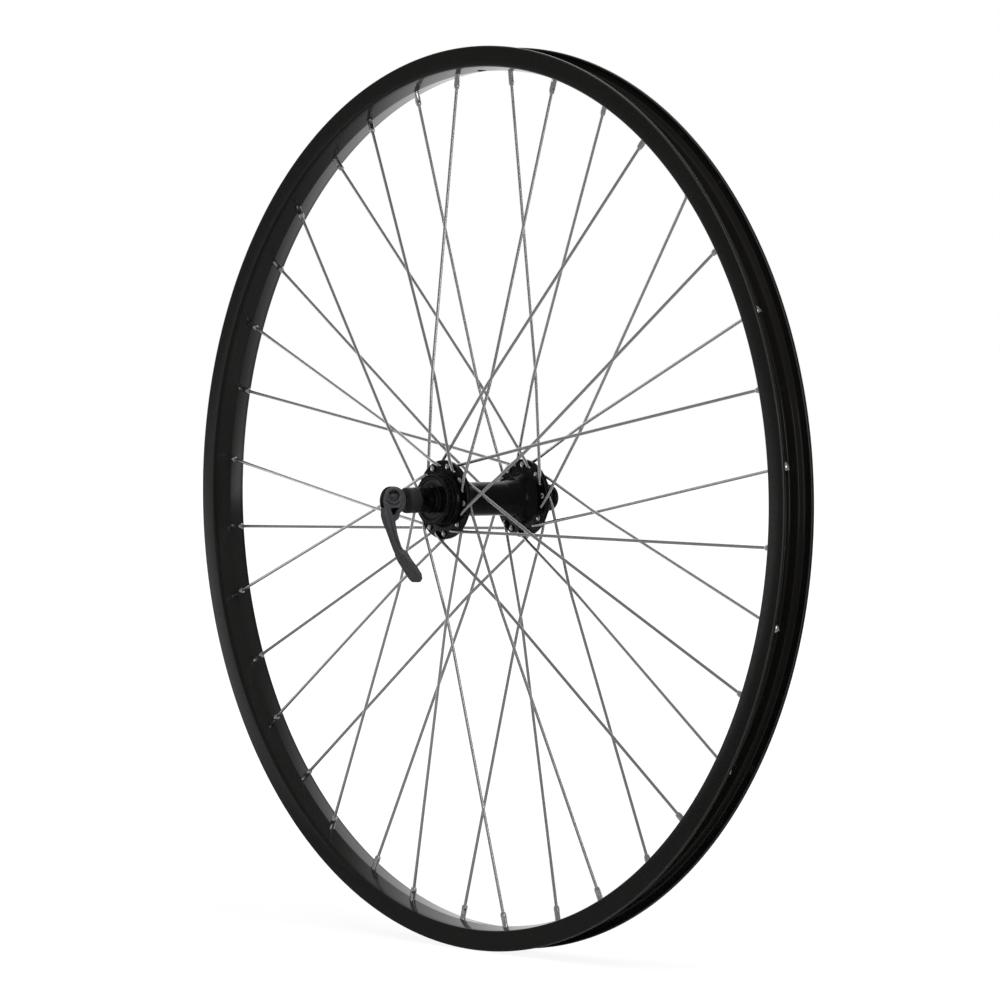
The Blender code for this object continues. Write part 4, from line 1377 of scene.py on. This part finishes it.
# The adjusting nut's dome: radius, y and rounding
NUT_DOME = ((0.0077, 0.0561, 0.0020), (0.0052, 0.0577, 0.0016), (0.0036, NUT_OUTER, 0.0005))


def build_nut():
    pocket = NUT_RADIUS - RING_WALL
    side = [
        (NUT_RADIUS, NUT_INNER, 0.0002),
        (NUT_RADIUS, NUT_WALL_END, 0.0008),
        *NUT_DOME,
        (ROD_HOLE_RADIUS, NUT_OUTER, 0.0002),
        (ROD_HOLE_RADIUS, NUT_FLOOR, 0),
        (pocket, NUT_FLOOR, 0.0002),
        (pocket, NUT_INNER, 0.0001),
    ]
    made_of = (HOUSING_BLACK, "nut", "lever_black")
    turned_piece("domed_nut", side, NUT_SEGMENTS, *made_of, "adjusting_nut")
    clamp_ring("right_tooth_ring", 1, RIGHT_RING, NUT_RADIUS, "nut", "right_clamp_ring")


def build_spring(name, sign, end, end_radius, curls, body, node):
    """A conical coil whose curls open towards its pocket."""
    start = AXLE_END + FIT + SPRING_WIRE_RADIUS
    count = round(curls * SPRING_STEPS)
    points = []
    for step in range(count + 1):
        share = step / count
        radius = SPRING_START_RADIUS + (end_radius - SPRING_START_RADIUS) * share
        y = sign * (start + (end - start) * share)
        points.append(on_wheel(radius, 2 * math.pi * curls * share, y))
    mesh = wire(name, points, [1] * len(points), SPRING_WIRE_RADIUS, SPRING_SEGMENTS, BEARING_STEEL)
    piece(name, mesh, BEARING_STEEL, body, "bearing_steel", [node])


def build_object():
    seats, hub_holes = build_spokes()
    nipples = on_seats("nipples", seats, nipple_mesh(), NIPPLE_NICKEL)
    piece("nipples", nipples, NIPPLE_NICKEL, "wheel", "spoke_steel", [])
    build_rim(seats)
    build_hub(hub_holes)
    build_bearing("left", -1)
    build_bearing("right", 1)
    build_axle()
    build_locknuts()
    build_skewer()
    build_lever()
    build_housing()
    build_nut()
    left = (LEFT_SPRING_END, LEFT_SPRING_RADIUS, LEFT_SPRING_CURLS)
    build_spring("left_coil", -1, *left, "cam_housing", "left_spring")
    right = (RIGHT_SPRING_END, RIGHT_SPRING_RADIUS, RIGHT_SPRING_CURLS)
    build_spring("right_coil", 1, *right, "nut", "right_spring")


# Stage, light and camera

# The floor, and its lit patch under the object, which fades out to plain white
FLOOR_HALF = 30.0
FLOOR_GAP = 0.0004
FLOOR_COLOUR = (0.86, 0.86, 0.86, 1)
FLOOR_GLOW = 1.12
PATCH_RADIUS = 0.45
PATCH_FADE_END = 0.75
PATCH_WHITE_SHARE = 0.82

# Light that bounces about, and the studio's darker side as reflections show it: its direction,
# how light the backdrop and floor are there, and where along it they start to darken and are darkest
BOUNCE_LIGHT = 0.10
ROOM_DARK_SIDE = (0.764, -0.645, 0.014)
ROOM_LIGHT = 0.18
ROOM_FLOOR_LIGHT = 0.16
ROOM_DARK_STARTS = -0.8
ROOM_DARKEST = -0.3
ROOM_FLOOR_DARKEST = -0.2


def seen_directly(wiring):
    """1 for rays from the camera, in reflections and through glass, and 0 for light that bounces."""
    path = wiring.add("ShaderNodeLightPath")
    first = wiring.maths("MAXIMUM", path.outputs["Is Camera Ray"], path.outputs["Is Glossy Ray"])
    return wiring.maths("MAXIMUM", first, path.outputs["Is Transmission Ray"])


def room(wiring, place, darkest, light, white):
    """The strength of white, but less in reflections on the studio's darker side."""
    towards = wiring.measured("DOT_PRODUCT", wiring.places(place), ROOM_DARK_SIDE)
    dark = wiring.ramp(towards, ROOM_DARK_STARTS, darkest, 0, 1 - light, "SMOOTHSTEP")
    path = wiring.add("ShaderNodeLightPath")
    less = wiring.maths("MULTIPLY", dark, path.outputs["Is Glossy Ray"])
    return wiring.maths("MULTIPLY", wiring.maths("SUBTRACT", 1, less), white)


def pale_floor():
    """White to the camera and in reflections, with a lit patch that keeps the object's shadow."""
    material = bpy.data.materials.new("pale_floor")
    material.use_nodes = True
    material.node_tree.nodes.clear()
    wiring = Wiring(material.node_tree)
    lit = wiring.add("ShaderNodeBsdfDiffuse")
    lit.inputs["Color"].default_value = FLOOR_COLOUR
    glow = wiring.add("ShaderNodeEmission")
    strength = room(wiring, "Object", ROOM_FLOOR_DARKEST, ROOM_FLOOR_LIGHT, FLOOR_GLOW)
    wiring.join(strength, glow.inputs["Strength"])
    distance = wiring.measured("LENGTH", wiring.places("Object"))
    white_share = wiring.ramp(distance, PATCH_RADIUS, PATCH_FADE_END, PATCH_WHITE_SHARE, 1)
    mix = wiring.add("ShaderNodeMixShader")
    wiring.join(wiring.maths("MULTIPLY", white_share, seen_directly(wiring)), mix.inputs["Fac"])
    wiring.join(lit.outputs["BSDF"], mix.inputs[1])
    wiring.join(glow.outputs["Emission"], mix.inputs[2])
    out = wiring.add("ShaderNodeOutputMaterial")
    wiring.join(mix.outputs["Shader"], out.inputs["Surface"])
    return material


def build_floor():
    floor = bpy.data.meshes.new("floor")
    height = -RIM_RADIUS - FLOOR_GAP
    directions = ((-1, -1), (1, -1), (1, 1), (-1, 1))
    corners = [(FLOOR_HALF * x, FLOOR_HALF * y, height) for x, y in directions]
    floor.from_pydata(corners, [], [(0, 1, 2, 3)])
    floor.materials.append(pale_floor())
    made = bpy.data.objects.new("floor", floor)
    bpy.context.scene.collection.objects.link(made)


def build_world():
    world = bpy.data.worlds.new("studio")
    bpy.context.scene.world = world
    world.use_nodes = True
    wiring = Wiring(world.node_tree)
    background = world.node_tree.nodes["Background"]
    background.inputs["Color"].default_value = (1, 1, 1, 1)
    strength = wiring.ramp(seen_directly(wiring), 0, 1, BOUNCE_LIGHT, 1)
    share = room(wiring, "Generated", ROOM_DARKEST, ROOM_LIGHT, 1)
    wiring.join(wiring.maths("MULTIPLY", strength, share), background.inputs["Strength"])


def softbox(name, place, size, watts, mirrored):
    """An area lamp that faces the wheel's centre, shown in reflections or not."""
    lamp = bpy.data.lights.new(name, "AREA")
    lamp.shape = "RECTANGLE"
    lamp.size = size[0]
    lamp.size_y = size[1]
    lamp.energy = watts
    made = bpy.data.objects.new(name, lamp)
    made.location = place
    made.rotation_euler = (-Vector(place)).to_track_quat("-Z", "Y").to_euler()
    made.visible_glossy = mirrored
    bpy.context.scene.collection.objects.link(made)


def build_lights():
    softbox("top_softbox", (0.5, -1.0, 1.5), (1.2, 1.0), 16, mirrored=False)
    softbox("left_softbox", (-2.0, -0.4, 1.0), (0.5, 1.2), 6, mirrored=False)
    softbox("right_softbox", (2.25, -0.30, 0.20), (0.5, 1.2), 5, mirrored=True)
    softbox("upper_softbox", (1.4, -0.1, 1.7), (0.8, 0.8), 22, mirrored=False)


# The camera, from a fit of the rim's edges and the lacing in the photograph
CAMERA_AZIMUTH = math.radians(49.8503)
CAMERA_ELEVATION = math.radians(0.823)
CAMERA_ROLL = math.radians(-0.5042)
CAMERA_DISTANCE = 2.6144
CAMERA_RIGHT = 0.01019
CAMERA_UP = -0.00074
FOCAL_PIXELS = 4120
IMAGE_PIXELS = 1000
SENSOR_MM = 36


def build_camera():
    level = math.cos(CAMERA_ELEVATION)
    back_x = math.sin(CAMERA_AZIMUTH) * level
    back_y = -math.cos(CAMERA_AZIMUTH) * level
    back = Vector((back_x, back_y, math.sin(CAMERA_ELEVATION)))
    right = Vector((math.cos(CAMERA_AZIMUTH), math.sin(CAMERA_AZIMUTH), 0))
    up = back.cross(right)
    tilted_right = right * math.cos(CAMERA_ROLL) + up * math.sin(CAMERA_ROLL)
    tilted_up = up * math.cos(CAMERA_ROLL) - right * math.sin(CAMERA_ROLL)
    lens = bpy.data.cameras.new("camera")
    lens.sensor_fit = "HORIZONTAL"
    lens.sensor_width = SENSOR_MM
    lens.lens = SENSOR_MM * FOCAL_PIXELS / IMAGE_PIXELS
    lens.clip_end = 200
    made = bpy.data.objects.new("camera", lens)
    axes = Matrix((tilted_right, tilted_up, back)).transposed().to_4x4()
    place = back * CAMERA_DISTANCE + tilted_right * CAMERA_RIGHT + tilted_up * CAMERA_UP
    made.matrix_world = Matrix.Translation(place) @ axes
    bpy.context.scene.collection.objects.link(made)
    bpy.context.scene.camera = made


build_camera()
build_object()
build_floor()
build_world()
build_lights()
bpy.context.scene.view_settings.view_transform = "Standard"
